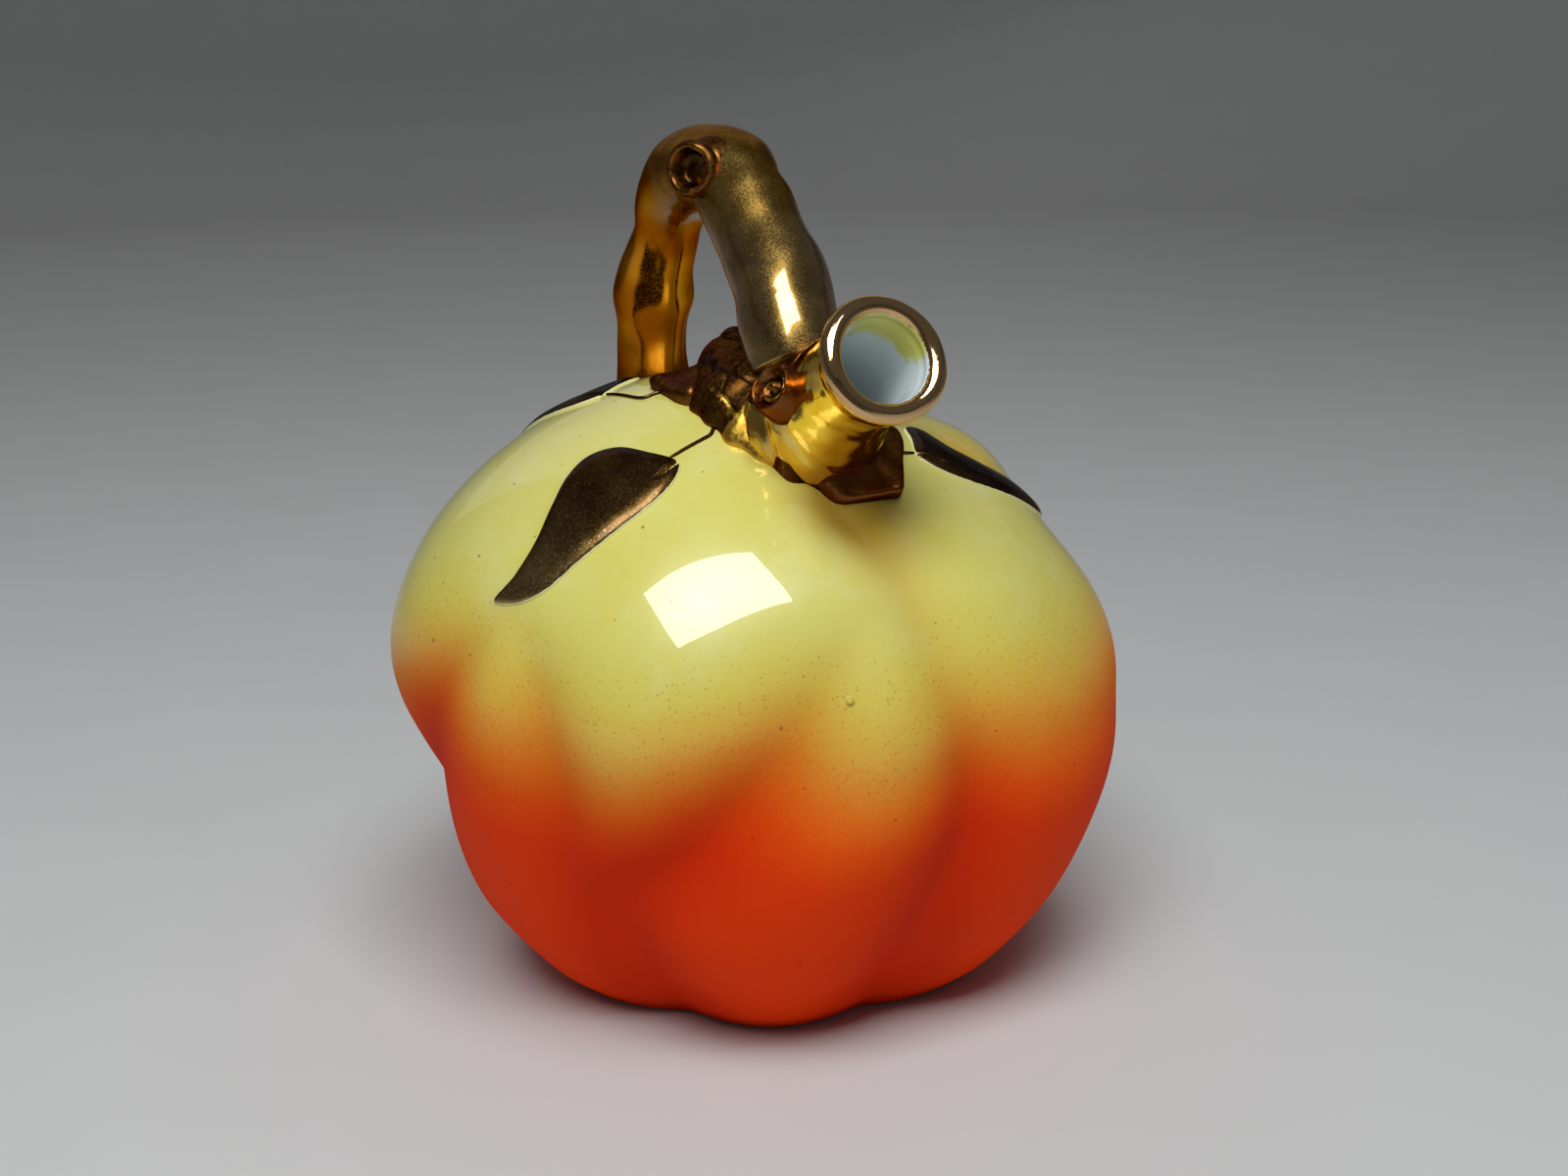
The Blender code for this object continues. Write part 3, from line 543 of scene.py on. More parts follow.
# ---- body ----
class Pumpkin:
    """The outside of the body as a formula: a turned outline with valleys pressed into it."""

    def __init__(self):
        self.outline = smooth_curve(np.array(BODY_OUTLINE) * MM, OUTLINE_POINTS)
        self.outline[:, 1] = np.maximum(self.outline[:, 1], 0.0)
        self.runs = np.linspace(0, 1, len(self.outline))
        self.length = np.linalg.norm(np.diff(self.outline, axis=0), axis=1).sum()
        self.lean = smooth_curve(np.array(BODY_LEAN) * MM, LEAN_POINTS)
        self.valleys = [self.valley_line(points, turn) for points, turn in VALLEYS]

    def valley_line(self, points, turn):
        line = smooth_curve(points, VALLEY_POINTS)
        run = np.interp(-line[:, 1] * MM, -self.outline[:, 1], self.runs)
        return np.radians(line[:, 0] + turn), run, line[:, 2] * MM

    def depth(self, azimuth, run):
        """How far the valleys push the surface in at each point."""
        radius = np.interp(run, self.runs, self.outline[:, 0])[..., None]
        total = 0.0
        for line_azimuth, line_run, line_depth in self.valleys:
            turn = (azimuth[..., None] - line_azimuth + np.pi) % (2 * np.pi) - np.pi
            away = np.hypot(turn * radius, (run[..., None] - line_run) * self.length)
            distance = away.min(-1)
            weight = np.exp((distance[..., None] - away) / (VALLEY_BLEND * MM))
            deep = (weight * line_depth).sum(-1) / weight.sum(-1)
            softness = VALLEY_SOFTNESS * MM
            flank = (np.hypot(distance, softness) - softness) / (VALLEY_WIDTH * MM)
            total = total + (deep * np.exp(-flank)) ** 3
        return np.cbrt(total)

    def swell(self, azimuth, height):
        """How far the swells push the surface out at each point."""
        total = 0.0
        for middle, level, amount, spread, drop in SWELLS:
            turn = (np.degrees(azimuth) - middle + 180) % 360 - 180
            away = (turn / spread) ** 2 + ((height / MM - level) / drop) ** 2
            total = total + amount * MM * np.exp(-away)
        return total

    def points(self, azimuth, run, depth, inset=0.0):
        """Points of the surface, pushed in by the valleys' depth and by inset."""
        radius = np.interp(run, self.runs, self.outline[:, 0])
        height = np.interp(run, self.runs, self.outline[:, 1])
        above = height - BULGE_HEIGHT * MM
        share = (depth + inset - self.swell(azimuth, height)) / np.hypot(radius, above)
        blend = np.ones_like(above) if inset else smoothstep(above, 0.0, LIFT_BAND * MM)
        radius = radius * (1 - share)
        height = height - share * blend * above
        shift = np.interp(height, self.lean[:, 0], self.lean[:, 1])
        lean_azimuth = np.radians(LEAN_AZIMUTH)
        return np.stack([radius * np.sin(azimuth) + shift * np.sin(lean_azimuth),
                         -radius * np.cos(azimuth) - shift * np.cos(lean_azimuth), height], axis=-1)

    def rings(self, sides, rows, inset=0.0, valley_share=1.0):
        """Rings from the top of the axis to the middle of the underside, and their valley depth."""
        run, azimuth = np.meshgrid(np.linspace(0, 1, rows + 1)[1:-1],
                                   full_turn(sides), indexing="ij")
        depth = self.depth(azimuth, run) * valley_share
        return self.points(azimuth, run, depth, inset), depth


def spout_axis():
    slope = np.radians(SPOUT_SLOPE)
    return Vector((0, -np.cos(slope), np.sin(slope)))


class Seat:
    """The body's outer surface, for laying things on it."""

    def __init__(self, rings):
        count, sides, _ = rings.shape
        index = np.arange(count * sides).reshape(count, sides)
        quads = np.stack([index[:-1], index[1:], np.roll(index[1:], -1, 1),
                          np.roll(index[:-1], -1, 1)], -1).reshape(-1, 4)
        points = np.vstack([rings.reshape(-1, 3), rings[0].mean(0)])
        cap = [(len(points) - 1, int(a), int(b)) for a, b in zip(index[0], np.roll(index[0], -1))]
        self.tree = BVHTree.FromPolygons(points.tolist(), quads.tolist() + cap)

    def drop(self, point, direction=(0, 0, -1)):
        """Where a ray from point meets the body, and the outward normal there."""
        place, normal, _, _ = self.tree.ray_cast(Vector(point), Vector(direction))
        if place is None:
            raise ValueError("a ray misses the body: %s" % (tuple(point),))
        if normal.dot(Vector(direction)) > 0:
            normal = -normal
        return place, normal

    def drop_plan(self, x, y):
        return self.drop((x * MM, y * MM, HIGH))

    def drop_all(self, plan):
        """Places and normals under a grid of plan points (x, y) in millimetres."""
        places, normals = np.empty((*plan.shape[:-1], 3)), np.empty((*plan.shape[:-1], 3))
        for spot in np.ndindex(plan.shape[:-1]):
            places[spot], normals[spot] = self.drop_plan(*plan[spot])
        return places, normals


class LeafPlace:
    """Where one leaf lies: its plane, and the direction in which it is pressed on the body."""

    def __init__(self, seat, placing):
        self.side, stem, tip, stem_path = placing
        self.stem_path = [(self.side * x, y) for x, y in stem_path]
        ends = []
        for azimuth, radius in (stem, tip):
            turn = np.radians(self.side * azimuth)
            ends.append(seat.drop_plan(radius * np.sin(turn), -radius * np.cos(turn))[0])
        along = (ends[1] - ends[0]).normalized()
        outward = (ends[0] + ends[1]) / 2 - Vector((0, 0, BULGE_HEIGHT * MM))
        across = outward.cross(along).normalized()
        turned = Matrix((along, across, along.cross(across))).transposed().to_4x4()
        self.outward = outward.normalized()
        self.matrix = Matrix.Translation(ends[0] + self.outward * LEAF_PLANE * MM) @ turned
        self.outline = closed_outline(LEAF_OUTLINE, LEAF_SIDES)

    def place(self, along, across):
        return self.matrix @ Vector((along * MM, self.side * across * MM, 0))

    def plan(self, points):
        """(along, across) in millimetres of points in space, seen along the pressing direction."""
        inverse = np.array(self.matrix.inverted())
        local = points @ inverse[:3, :3].T + inverse[:3, 3]
        slide = inverse[:3, :3] @ np.array(self.outward)
        local = local - slide * (local[..., 2:] / slide[2])
        return np.stack([local[..., 0], self.side * local[..., 1]], -1) / MM

    def outside_by(self, spots):
        """Distance of spots (along, across) from the leaf's outline, negative inside it."""
        spots = spots[..., None, :]
        start, finish = self.outline, np.roll(self.outline, -1, 0)
        span = finish - start
        share = np.clip(((spots - start) * span).sum(-1) / (span**2).sum(-1), 0, 1)
        away = np.linalg.norm(spots - start - share[..., None] * span, axis=-1).min(-1)
        x, y = spots[..., 0], spots[..., 1]
        straddles = (start[:, 1] > y) != (finish[:, 1] > y)
        rise = np.where(span[:, 1] == 0, 1e-9, span[:, 1])
        crossing = start[:, 0] + (y - start[:, 1]) / rise * span[:, 0]
        inside = (straddles & (x < crossing)).sum(-1) % 2 == 1
        return np.where(inside, -away, away)


def press_leaf_pads(rings, leaves):
    """Raise the body a little under each leaf, with a soft edge round it."""
    for leaf in leaves.values():
        middle = np.array(leaf.place(*LEAF_MIDDLE) - leaf.outward * LEAF_PLANE * MM)
        near = np.linalg.norm(rings - middle, axis=-1) < LEAF_LENGTH * MM
        away = leaf.outside_by(leaf.plan(rings[near]))
        lift = smoothstep(away, 1.5, -0.3) * LEAF_PAD * MM
        rings[near] += lift[:, None] * np.array(leaf.outward)
    return rings


def spout_hole(material):
    """Cylinder round the spout's bore, for making room for the spout."""
    axis = spout_axis()
    up = np.array(axis.cross(Vector((1, 0, 0))))
    disc = spokes(full_turn(64), RIGHT, up) * HOLE_RADIUS * MM
    start = np.array(SPOUT_RIM - axis * (SPOUT_LENGTH + HOLE_BEYOND) * MM)
    ends = [start + disc, start + disc + np.array(axis) * HOLE_LENGTH * MM]
    return loft("hole", ends, material)


def cut_away(item, *cutters):
    """Cut the cutters out of the item and remove them."""
    for cutter in cutters:
        modifier = item.modifiers.new("cut", "BOOLEAN")
        modifier.operation = "DIFFERENCE"
        modifier.solver = "EXACT"
        modifier.object = cutter
    bpy.context.view_layer.update()
    finished = bpy.data.meshes.new_from_object(
        item.evaluated_get(bpy.context.evaluated_depsgraph_get()))
    item.modifiers.clear()
    item.data = finished
    for cutter in cutters:
        bpy.data.objects.remove(cutter)


def spray_line(points, valley):
    """Height above which yellow outweighs the orange spray, at each point of the body."""
    line = smooth_curve(SPRAY_LINE, SPRAY_POINTS)
    azimuth = np.degrees(np.arctan2(points[..., 0], -points[..., 1]))
    return np.interp(azimuth, line[:, 0], line[:, 1]) * MM + SPRAY_IN_VALLEYS * valley


def build_body(outer, valley, inner, glaze):
    """The hollow shell with the hole that the spout goes through."""
    body = loft("glazed_body", outer, glaze, {"valley": valley, "spray": spray_line(outer, valley)})
    flat = np.zeros(inner.shape[:2])
    cavity = loft("cavity", inner, glaze, {"valley": flat, "spray": flat})
    cut_away(body, cavity, spout_hole(glaze))
    dress(body, "body_glaze", "body_shell")


# ---- spout ----
def root_flare(down):
    """Share of the full flare of the spout's root at a distance down from the rim."""
    return smoothstep(down, 16, 44)


def spout_profile():
    """(radius, distance down from the rim) up the outside, over the lip and down the bore; also
    the numbers of the points where the lip and the bore start."""
    lip_middle = (LIP_RADIUS + LIP_BORE) / 2
    half = (LIP_RADIUS - LIP_BORE) / 2
    profile = [(SPOUT_RADIUS, down) for down in np.linspace(SPOUT_LENGTH, 8, 110)]
    profile += [(SPOUT_RADIUS + 0.25, 6.6), (SPOUT_RADIUS + 0.7, 5.4), (SPOUT_RADIUS + 1.3, 4.3)]
    lip_first = len(profile)
    for angle in np.linspace(-0.30 * np.pi, 1.12 * np.pi, 34):
        profile.append((lip_middle + half * np.cos(angle), half - half * np.sin(angle)))
    bore_first = len(profile) - 8
    profile += [(LIP_BORE - 0.25, 3.6), (LIP_BORE - 0.35, 5.0)]
    profile += [(SPOUT_BORE, down) for down in np.linspace(7, SPOUT_LENGTH, 60)]
    return np.array(profile), lip_first, bore_first


def build_spout(gold):
    """Tube with a rolled lip and a creased, flaring root; its bore is open to the inside."""
    profile, lip_first, bore_first = spout_profile()
    turn = full_turn(SPOUT_SIDES)
    radius = np.repeat(profile[:, :1], SPOUT_SIDES, 1)
    down = np.repeat(profile[:, 1:], SPOUT_SIDES, 1)
    position = np.arange(len(profile))[:, None]
    outer = position < lip_first
    below = (1 - np.cos(turn)) / 2
    leftward = (1 - np.sin(turn)) / 2
    radius = radius + outer * root_flare(down) * (2.0 + 4.5 * below + 1.5 * leftward)
    for middle, deep, wave in ROOT_CREASES:
        crease = hump(down, middle + wave * np.sin(2 * turn + middle), 1.3)
        radius = radius - outer * deep * crease * smoothstep(below, 0.3, 0.8)
    axis = np.array(spout_axis())
    spoke = spokes(turn, np.array((0, axis[2], -axis[1])), RIGHT)
    sunk = down + 0.25 * np.sin(turn * 2 + 0.6) * smoothstep(down, 8, 0)
    rings = np.array(SPOUT_RIM) + radius[..., None] * MM * spoke - sunk[..., None] * MM * axis
    groove = -0.16 * hump(position, lip_first + 15, 1.6) + 0.10 * hump(position, lip_first + 20, 2)
    bend = rough(rings, 5.0, 2) * 0.22 * outer + rough(rings, 9.0) * 0.25 + groove
    rings = rings + (bend * MM)[..., None] * spoke
    lip = np.broadcast_to((position >= lip_first) * smoothstep(position, lip_first, lip_first + 6),
                          radius.shape)
    bore = np.where(position < bore_first, -2.0, down - profile[bore_first, 1])
    # Dark bands on the outer and inner flanks of the lip's roll.
    lip_dark_bands = hump(position, lip_first + 30, 2.5) + 0.8 * hump(position, lip_first + 4, 4)
    lip_dark_bands = lip_dark_bands * (position >= lip_first) * np.ones(SPOUT_SIDES)
    stain = smoothstep(np.cos(turn - 0.5), 0.1, 0.8) * smoothstep(down, 13, 4)
    piece = loft("spout_tube", rings, gold,
                 {"bore": bore, "down": down, "lip": lip, "lip_dark_bands": lip_dark_bands, "stain": stain},
                 joined=True)
    dress(piece, "spout_gold", "spout_tube")


# ---- handle ----
def branch_rings():
    """Rings round the branch, knobbly like grown wood."""
    path = smooth_curve(BRANCH, BRANCH_RINGS)
    centre = np.stack([np.zeros(BRANCH_RINGS), path[:, 0], path[:, 1]], -1) * MM
    ahead = np.gradient(centre, axis=0)
    ahead = ahead / np.linalg.norm(ahead, axis=1, keepdims=True)
    turn = full_turn(BRANCH_SIDES)
    spoke = spokes(turn, RIGHT, np.cross(RIGHT, ahead)[:, None, :])
    radius = np.repeat(path[:, 2:], BRANCH_SIDES, 1)
    share = np.linspace(0, 1, BRANCH_RINGS)[:, None]
    back = smoothstep(share, 0.5, 0.62)
    ridges = 0.5 * np.cos(3 * turn + 5 * share) + 0.3 * np.cos(5 * turn - 9 * share + 1)
    radius = radius + back * ridges
    for place, angle, height, length in BUMPS:
        around = (turn - np.radians(angle) + np.pi) % (2 * np.pi) - np.pi
        radius = radius + height * hump(share, place, length) * hump(around, 0, 0.8)
    rings = centre[:, None, :] + radius[..., None] * MM * spoke
    swell = rough(rings, 13.0, 2) * 0.5 + rough(rings * (1, 0.4, 0.4), 3.0) * 0.07
    return rings + (swell * MM)[..., None] * spoke


def disc_rings(face, direction, steps, radius, turn):
    """Rings round an axis, and their spokes at the angles of turn: steps are (share of the
    radius, distance behind the face)."""
    across = direction.orthogonal().normalized()
    spoke = spokes(turn, np.array(across), np.array(direction.cross(across)))
    shares, depths = np.array(steps).T
    rings = (np.array(face) + (shares * radius * MM)[:, None, None] * spoke
             - (depths * MM)[:, None, None] * np.array(direction))
    return rings, spoke


def build_stub(bark):
    """Stump of a pruned side branch: a thin rounded rim round a deep hollow."""
    steps = [(0.05, 3.6), (0.3, 3.6), (0.5, 3.3), (0.61, 2.4), (0.67, 1.3), (0.72, 0.5),
             (0.78, 0.1), (0.85, 0.0), (0.92, 0.15), (0.98, 0.6), (1.02, 1.3), (1.0, 2.2),
             (0.98, 3.2), (1.02, 4.2), (1.10, 5.4), (1.2, 7.0), (1.2, 9.0)]
    steps = smooth_curve(steps, 90)
    rings, spoke = disc_rings(STUB_FACE, STUB_DIRECTION, steps, STUB_RADIUS, full_turn(STUB_SIDES))
    sunk = 1.6 * smoothstep(-spoke[:, 1], 0.2, 0.95) * smoothstep(steps[:, 1:], 5.0, 2.0)
    offset = (rough(rings, 4.0, 2) * 0.35 + rough(rings, 1.5) * 0.06 - sunk) * MM
    rings = rings + offset[..., None] * np.array(STUB_DIRECTION)
    # Painted shade: the deep hollow inside the rim gets a low relief value, so it is painted nearly
    # black.
    hollow = np.repeat(smoothstep(steps[:, :1], 0.55, 0.8), rings.shape[1], 1)
    layers = {"relief": 0.75 * hollow, "gilding": np.full(hollow.shape, -1.0)}
    dress(loft("pruned_stub", rings, bark, layers), "branch_gold", "pruned_stub")


def build_knot(bark):
    """Round bark knot: a rolled rim round a spiral."""
    shares = np.linspace(0.03, 1.0, 56)
    steps = [(share, 1.3 * smoothstep(share, 0.86, 0.66) - 0.5 * hump(share, 0.0, 0.3)
              + 0.9 * smoothstep(share, 0.92, 1.0)) for share in shares]
    steps += [(1.04, 1.8), (1.08, 3.0), (1.12, 4.4), (1.15, 6.0)]
    turn = full_turn(KNOT_SIDES)
    rings, _ = disc_rings(KNOT_FACE + KNOT_DIRECTION * KNOT_PROUD * MM, KNOT_DIRECTION, steps,
                          KNOT_RADIUS, turn)
    share = np.array(steps)[:, :1]
    spiral = np.cos(2 * np.pi * share * 1.9 - turn) * smoothstep(share, 0.8, 0.6)
    offset = 0.45 * spiral + rough(rings, 2.4, 2) * 0.3
    rings = rings + (offset * MM)[..., None] * np.array(KNOT_DIRECTION)
    # Painted shade: the sunken turns of the spiral get a low relief value and are painted dark.
    relief = np.clip(0.45 + 0.4 * spiral, 0, 1)
    gilding = 0.6 * smoothstep(spiral, 0.5, 1.0)
    piece = loft("collar_knot", rings, bark, {"relief": relief, "gilding": gilding})
    dress(piece, "bark_lustre", "collar_knot")


# ---- collar and sepals ----
def neck_top(plan):
    """Height in millimetres of the bark that is draped over the spout's root, above the floor."""
    slope = np.radians(SPOUT_SLOPE)
    back = plan[..., 1] - SPOUT_RIM[1] / MM
    flare = root_flare(back / np.cos(slope) - 4)
    wide = SPOUT_RADIUS + 1.0 + 4.5 * flare
    tall = SPOUT_RADIUS + 0.9 + 2.2 * flare
    arch = np.sqrt(np.clip(1 - (plan[..., 0] / wide) ** 2, 0, 1))
    ridge = SPOUT_RIM[2] / MM - back * np.tan(slope) + tall * arch / np.cos(slope)
    there = smoothstep(arch, 0.0, 0.25) * smoothstep(plan[..., 1], -45.5, -43.5)
    return ridge * there


def collar_plan():
    """Points (x, y) of the collar in millimetres, and their share of the way out to its edge."""
    outline = closed_outline(COLLAR_OUTLINE, COLLAR_SIDES)
    middle = np.array(COLLAR_MIDDLE)
    shares = np.concatenate([np.linspace(0.02, 0.9, 80), np.linspace(0.91, 1.0, 18)])
    turn = full_turn(COLLAR_SIDES)
    ragged = 1 + 0.04 * np.sin(7 * turn + 1) * np.sin(3 * turn) + 0.02 * np.sin(19 * turn)
    plan = middle + shares[:, None, None] * (outline - middle) * ragged[:, None]
    return plan, np.repeat(shares[:, None], COLLAR_SIDES, 1)


def collar_height(plan, share):
    """How far the bark stands above the body, in millimetres, with its edge rolled over."""
    front = smoothstep(-plan[..., 1], 24, 36)
    height = (COLLAR_PEAK - COLLAR_ROLL) * (1 - share**2) ** 0.75 * (1 - 0.7 * front)
    height = height + 1.0 * hump(share, 0.62, 0.2) * (1 - front)
    for x, y, rise, spread in HUMPS:
        height = height + rise * hump(np.hypot(plan[..., 0] - x, plan[..., 1] - y), 0, spread)
    edge = np.sqrt(np.clip(1 - share**14, 0, 1))
    return edge * (height + COLLAR_ROLL)


def collar_gold(plan, share, spots, level):
    """Share of gold at each point: the low front, but for the dark rim on its right."""
    gold = smoothstep(-plan[..., 1] + 1.5 * rough(spots, 3.0, 2), 26, 28.5)
    gold = gold * smoothstep(level, 130.0, 128.0)
    rim = smoothstep(share + 0.04 * rough(spots + 0.1, 3.0), 0.80, 0.84)
    return gold * (1 - rim * smoothstep(plan[..., 0], -7, -3))


def build_collar(seat, bark):
    """The bark that the spout and the handle stand in; its front is brushed with gold."""
    plan, share = collar_plan()
    spots = np.dstack([plan, share * 0]) * MM
    lumps = rough(spots, 8.0, 2) * smoothstep(share, 0.3, 0.55)
    cracks = hump(rough(spots + 0.05, 7.0, 2), 0.0, 0.10) * smoothstep(share, 0.35, 0.55)
    places, normals = seat.drop_all(plan)
    upper = places + normals * (collar_height(plan, share) * MM)[..., None]
    upper[..., 2] = np.maximum(upper[..., 2], neck_top(plan) * MM)
    gold = collar_gold(plan, share, spots, upper[..., 2] / MM + 1.8 * rough(spots, 3.5, 2))
    brushed = hump(share + 0.05 * rough(spots, 2.5), 0.86, 0.06) * smoothstep(-plan[..., 1], 14, 22)
    calm = 1 - 0.6 * smoothstep(plan[..., 1], -12, -4)
    relief = (0.6 * lumps - 0.25 * cracks) * calm * (1 - gold) * smoothstep(share, 1.0, 0.92)
    upper = upper + normals * (relief * MM)[..., None]
    under = places - normals * 0.6 * MM
    # Painted shade: the tone, kept in the relief layer, is low in the cracks and low lumps, which
    # are painted dark.
    tone = np.clip(0.62 + 0.35 * lumps - 0.6 * cracks, 0, 1)
    gilding = np.clip(gold + 0.5 * brushed, 0, 1)
    layers = {"relief": over_and_under(np.maximum(tone, gold), tone, COLLAR_UNDER),
              "gilding": over_and_under(gilding, gilding, COLLAR_UNDER)}
    piece = loft("bark_collar", over_and_under(upper, under, COLLAR_UNDER), bark, layers)
    cut_away(piece, spout_hole(bark))
    dress(piece, "bark_lustre", "bark_collar")


def build_sepal(name, seat, azimuth, radius, length, width, curl, bark):
    """A pointed bark flap, lying on the body with its tip curled up."""
    turn = np.radians(azimuth)
    out = np.array((np.sin(turn), -np.cos(turn)))
    across = np.array((np.cos(turn), np.sin(turn)))
    outline = closed_outline(SEPAL_OUTLINE, SEPAL_SIDES)
    middle = np.array((0.0, 0.4))
    shares = np.concatenate([np.linspace(0.04, 0.85, 24), [0.89, 0.93, 0.96, 0.98, 0.995, 1.0]])
    shape = middle + shares[:, None, None] * (outline - middle)
    plan = (np.array(COLLAR_MIDDLE) + shape[..., :1] * width * across
            + (radius + shape[..., 1:] * length) * out)
    share = np.repeat(shares[:, None], SEPAL_SIDES, 1)
    spots = np.dstack([plan, share * 0]) * MM
    tip = smoothstep(shape[..., 1], 0.3, 1.0)
    fold = hump(shape[..., 0], 0.0, 0.12) * (1 - tip)
    lift = 0.8 + curl * tip**2 + 0.4 * rough(spots, 5.0)
    root = smoothstep(shape[..., 1], 0.6, 0.0)
    body = (1.4 + 1.8 * root) * np.sqrt(np.clip(1 - share**8, 0, 1)) + 0.5 * fold
    fibres = np.dstack([shape[..., 0] * 4, shape[..., 1] * 1.2, share * 0]) * MM
    veins = rough(fibres, 1.0, 2) * (1 - share**8)
    places, normals = seat.drop_all(plan)
    upper = places + normals * ((lift + body + 0.45 * veins) * MM)[..., None]
    under = places + normals * ((lift * 0.6 - 0.8) * MM)[..., None]
    # Painted shade: the sunken vein grooves get a low relief value and are painted dark.
    relief = np.clip(0.62 + 0.5 * veins, 0, 1)
    relief = over_and_under(relief, relief, SEPAL_UNDER)
    layers = {"relief": relief, "gilding": 0 * relief}
    piece = loft(name, over_and_under(upper, under, SEPAL_UNDER), bark, layers)
    dress(piece, "bark_lustre", name)


# ---- leaves ----
def slit_share(plan):
    """1 in the middle of the leaf's slit, 0 beside it and past its end."""
    start, finish = np.array(LEAF_SLIT)
    span = finish - start
    along = np.clip(((plan - start) * span).sum(-1) / (span**2).sum(), 0, 1)
    away = np.linalg.norm(plan - start - along[..., None] * span, axis=-1)
    return hump(away, 0, 0.42 - 0.2 * along) * smoothstep(along, 1.0, 0.75)


def build_leaf(name, seat, leaf, finish):
    """Raised leaf with rounded edges and a slit beside the stem that parts off a small lobe."""
    middle = np.array(LEAF_MIDDLE)
    rays = leaf.outline - middle
    reach = np.linalg.norm(rays, axis=1)
    steps = (0.0, 0.1, 0.2, 0.32, 0.46, 0.65, 0.9, 1.2, 1.6, 2.0)
    shares = [1 - step / reach for step in steps]
    shares += [shares[-1] * share for share in np.linspace(0.96, 0.03, 30)]
    shares = np.array(shares)[::-1]
    plan = middle + shares[..., None] * rays
    edge = np.maximum(-leaf.outside_by(plan), 0)
    slit = slit_share(plan)
    rounding = np.sqrt(1 - (1 - np.clip(edge / LEAF_ROUND, 0, 1)) ** 2)
    height = LEAF_RELIEF * rounding * (1 - slit) - 0.15
    upper, under = np.empty((*plan.shape[:2], 3)), np.empty((*plan.shape[:2], 3))
    for spot in np.ndindex(plan.shape[:2]):
        place, normal = seat.drop(leaf.place(*plan[spot]), -leaf.outward)
        upper[spot] = place + normal * (height[spot] + LEAF_PAD) * MM
        under[spot] = place - normal * 0.5 * MM
    bumps = rough(upper, 7.0, 2) * 0.12 * smoothstep(edge, 0.2, 2.0) * MM
    upper = upper + bumps[..., None] * np.array(leaf.outward)
    shown = np.minimum(edge, 1.0 - 0.95 * slit)
    # Share of the way to the tip, for the sheen and glints painted towards the tip.
    tip_sheen_share = plan[..., 0] / LEAF_LENGTH
    layers = {"edge": over_and_under(shown, 0 * shown, LEAF_UNDER),
              "tip_sheen_share": over_and_under(tip_sheen_share, tip_sheen_share, LEAF_UNDER)}
    node = "leaf_" + name
    piece = loft(node, over_and_under(upper, under, LEAF_UNDER), finish, layers)
    dress(piece, "leaf_lustre", node)


def build_stem(name, seat, leaf, finish):
    """A thin raised line from the calyx to the leaf."""
    places, normals = seat.drop_all(smooth_curve(leaf.stem_path, STEM_RINGS))
    ahead = np.gradient(places, axis=0)
    across = np.cross(normals, ahead)
    across = across / np.linalg.norm(across, axis=1, keepdims=True)
    turn = full_turn(STEM_SIDES)
    slim = 1 - 0.25 * np.linspace(0, 1, len(places))
    wide = (STEM_WIDTH / 2 * slim)[:, None] * np.cos(turn) * MM
    tall = (STEM_RELIEF * slim)[:, None] * np.sin(turn) * MM
    rings = places[:, None] + wide[..., None] * across[:, None] + tall[..., None] * normals[:, None]
    # Stems get none of the sheen painted towards a leaf's tip.
    layers = {"edge": np.ones(rings.shape[:2]), "tip_sheen_share": np.zeros(rings.shape[:2])}
    node = "stem_" + name
    dress(loft(node, rings, finish, layers), "leaf_lustre", node)


# ---- stage ----
CAMERA_PLACE = Vector((-0.1633, -0.3816, 0.194))
CAMERA_HEADING = 24.0  # degrees right of +Y
CAMERA_PITCH = 15.12  # degrees down
CAMERA_ROLL = 0.82
CAMERA_LENS = 45.0


def add_camera():
    """Camera in front and to the left, a little higher than the handle, looking down."""
    heading, pitch = np.radians(CAMERA_HEADING), np.radians(CAMERA_PITCH)
    forward = Vector((np.sin(heading) * np.cos(pitch), np.cos(heading) * np.cos(pitch),
                      -np.sin(pitch)))
    level = forward.cross(Vector((0, 0, 1))).normalized()
    roll = Matrix.Rotation(np.radians(CAMERA_ROLL), 3, forward)
    right, up = roll @ level, roll @ level.cross(forward)
    camera = bpy.data.objects.new("camera", bpy.data.cameras.new("camera"))
    camera.data.lens = CAMERA_LENS
    turned = Matrix((right, up, -forward)).transposed().to_4x4()
    camera.matrix_world = Matrix.Translation(CAMERA_PLACE) @ turned
    bpy.context.collection.objects.link(camera)
    bpy.context.scene.camera = camera


# metres: radius of the flat middle and of the curve up into the wall, and the rest
FLOOR_FLAT, FLOOR_CURVE, FLOOR_THICK, WALL_TOP = 2.2, 0.8, 0.05, 1.3


def add_floor():
    """A pale round floor that curves up into a low wall."""
    paint = Paint("pale_floor", Roughness=0.6)
    shade = paint.mix(paint.noise(60.0, 3.0), (0.60, 0.595, 0.58), (0.64, 0.635, 0.62))
    paint.set("Base Color", shade)
    profile = [(0.02, 0), (1.0, 0), (FLOOR_FLAT, 0)]
    for angle in np.linspace(0.1, 0.5 * np.pi, 14):
        profile.append((FLOOR_FLAT + FLOOR_CURVE * np.sin(angle), FLOOR_CURVE * (1 - np.cos(angle))))
    profile.append((FLOOR_FLAT + FLOOR_CURVE, WALL_TOP))
    profile += [(radius, height - FLOOR_THICK) for radius, height in profile[::-1]]
    rim = spokes(full_turn(96), np.array((0, -1.0, 0)), RIGHT)
    rings = [rim * radius + np.array((0, 0, height)) for radius, height in profile]
    floor = loft("floor", rings, paint.material)


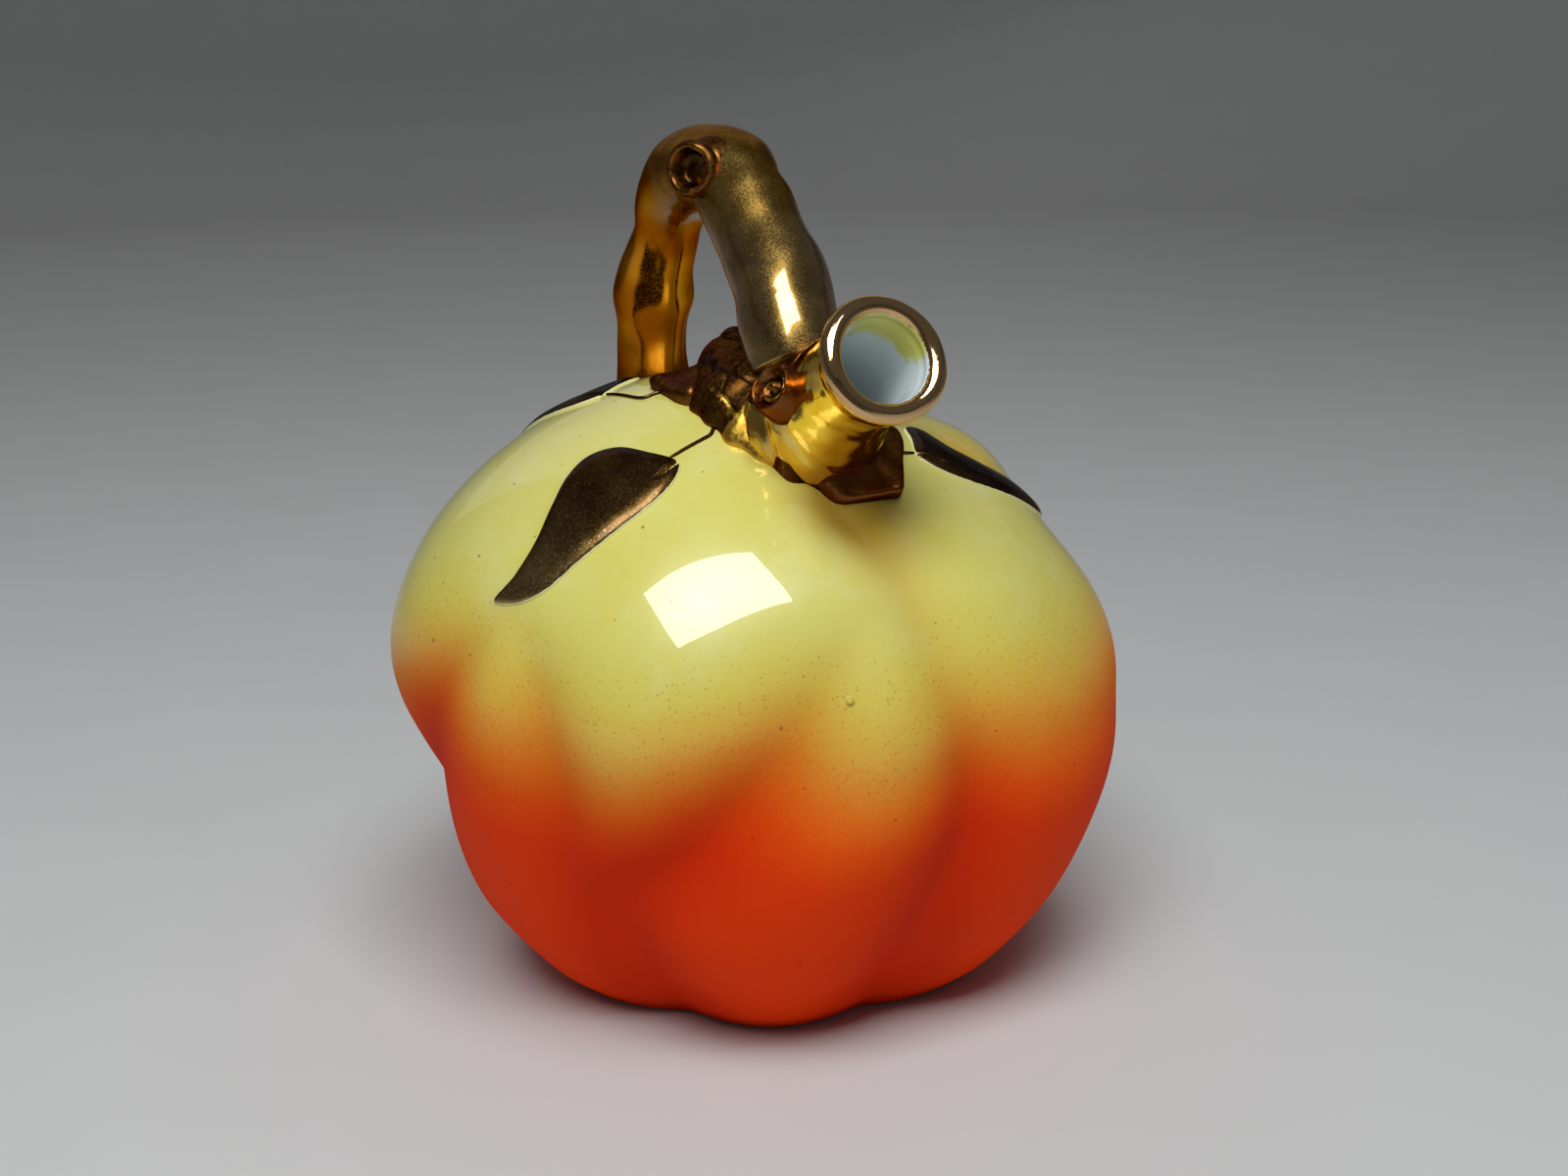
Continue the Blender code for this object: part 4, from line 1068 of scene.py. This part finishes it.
def add_light(name, place, target, size, power, right, colour=(1, 1, 1)):
    """Rectangular soft light at place, shining at target; right is the direction of its width."""
    light = bpy.data.lights.new(name, "AREA")
    light.shape = "RECTANGLE"
    light.size, light.size_y = size
    light.energy = power
    light.color = colour
    item = bpy.data.objects.new(name, light)
    back = (Vector(place) - Vector(target)).normalized()
    upward = back.cross(Vector(right)).normalized()
    turned = Matrix((upward.cross(back), upward, back)).transposed().to_4x4()
    item.matrix_world = Matrix.Translation(place) @ turned
    bpy.context.collection.objects.link(item)


def add_lights():
    add_light("window", place=(-0.27, -0.52, 1.08), target=(-0.03, -0.07, 0.09),
              size=(0.84, 0.56), power=13.5, right=(0.96, -0.03, 0.26), colour=(0.92, 0.97, 1.0))
    add_light("back_fill", place=(0.4, 2.0, 1.3), target=(0, 0, 0.08), size=(2.4, 1.6), power=3.0,
              right=(-1, 0, 0))
    world = bpy.data.worlds.new("studio")
    world.use_nodes = True
    background = world.node_tree.nodes["Background"]
    background.inputs["Color"].default_value = (0.95, 0.97, 1.0, 1.0)
    background.inputs["Strength"].default_value = 0.10
    bpy.context.scene.world = world
    bpy.context.scene.view_settings.view_transform = "Standard"


# ---- putting it together ----
def main():
    add_camera()
    add_floor()
    add_lights()
    pumpkin = Pumpkin()
    outer, valley = pumpkin.rings(BODY_SIDES, BODY_ROWS)
    inner, _ = pumpkin.rings(CAVITY_SIDES, CAVITY_ROWS, WALL * MM, CAVITY_VALLEYS)
    seat = Seat(outer)
    leaves = {name: LeafPlace(seat, placing) for name, placing in LEAVES.items()}
    build_body(press_leaf_pads(outer, leaves), valley, inner, glaze_material())
    build_spout(spout_material())
    branch = branch_material()
    bark = bark_material()
    leaf_finish = leaf_material()
    dress(loft("branch_handle", branch_rings(), branch), "branch_gold", "branch_handle")
    build_stub(bark)
    build_knot(bark)
    build_collar(seat, bark)
    for name, placing in SEPALS.items():
        build_sepal(name, seat, *placing, bark)
    for name, leaf in leaves.items():
        build_leaf(name, seat, leaf, leaf_finish)
        build_stem(name, seat, leaf, leaf_finish)


main()
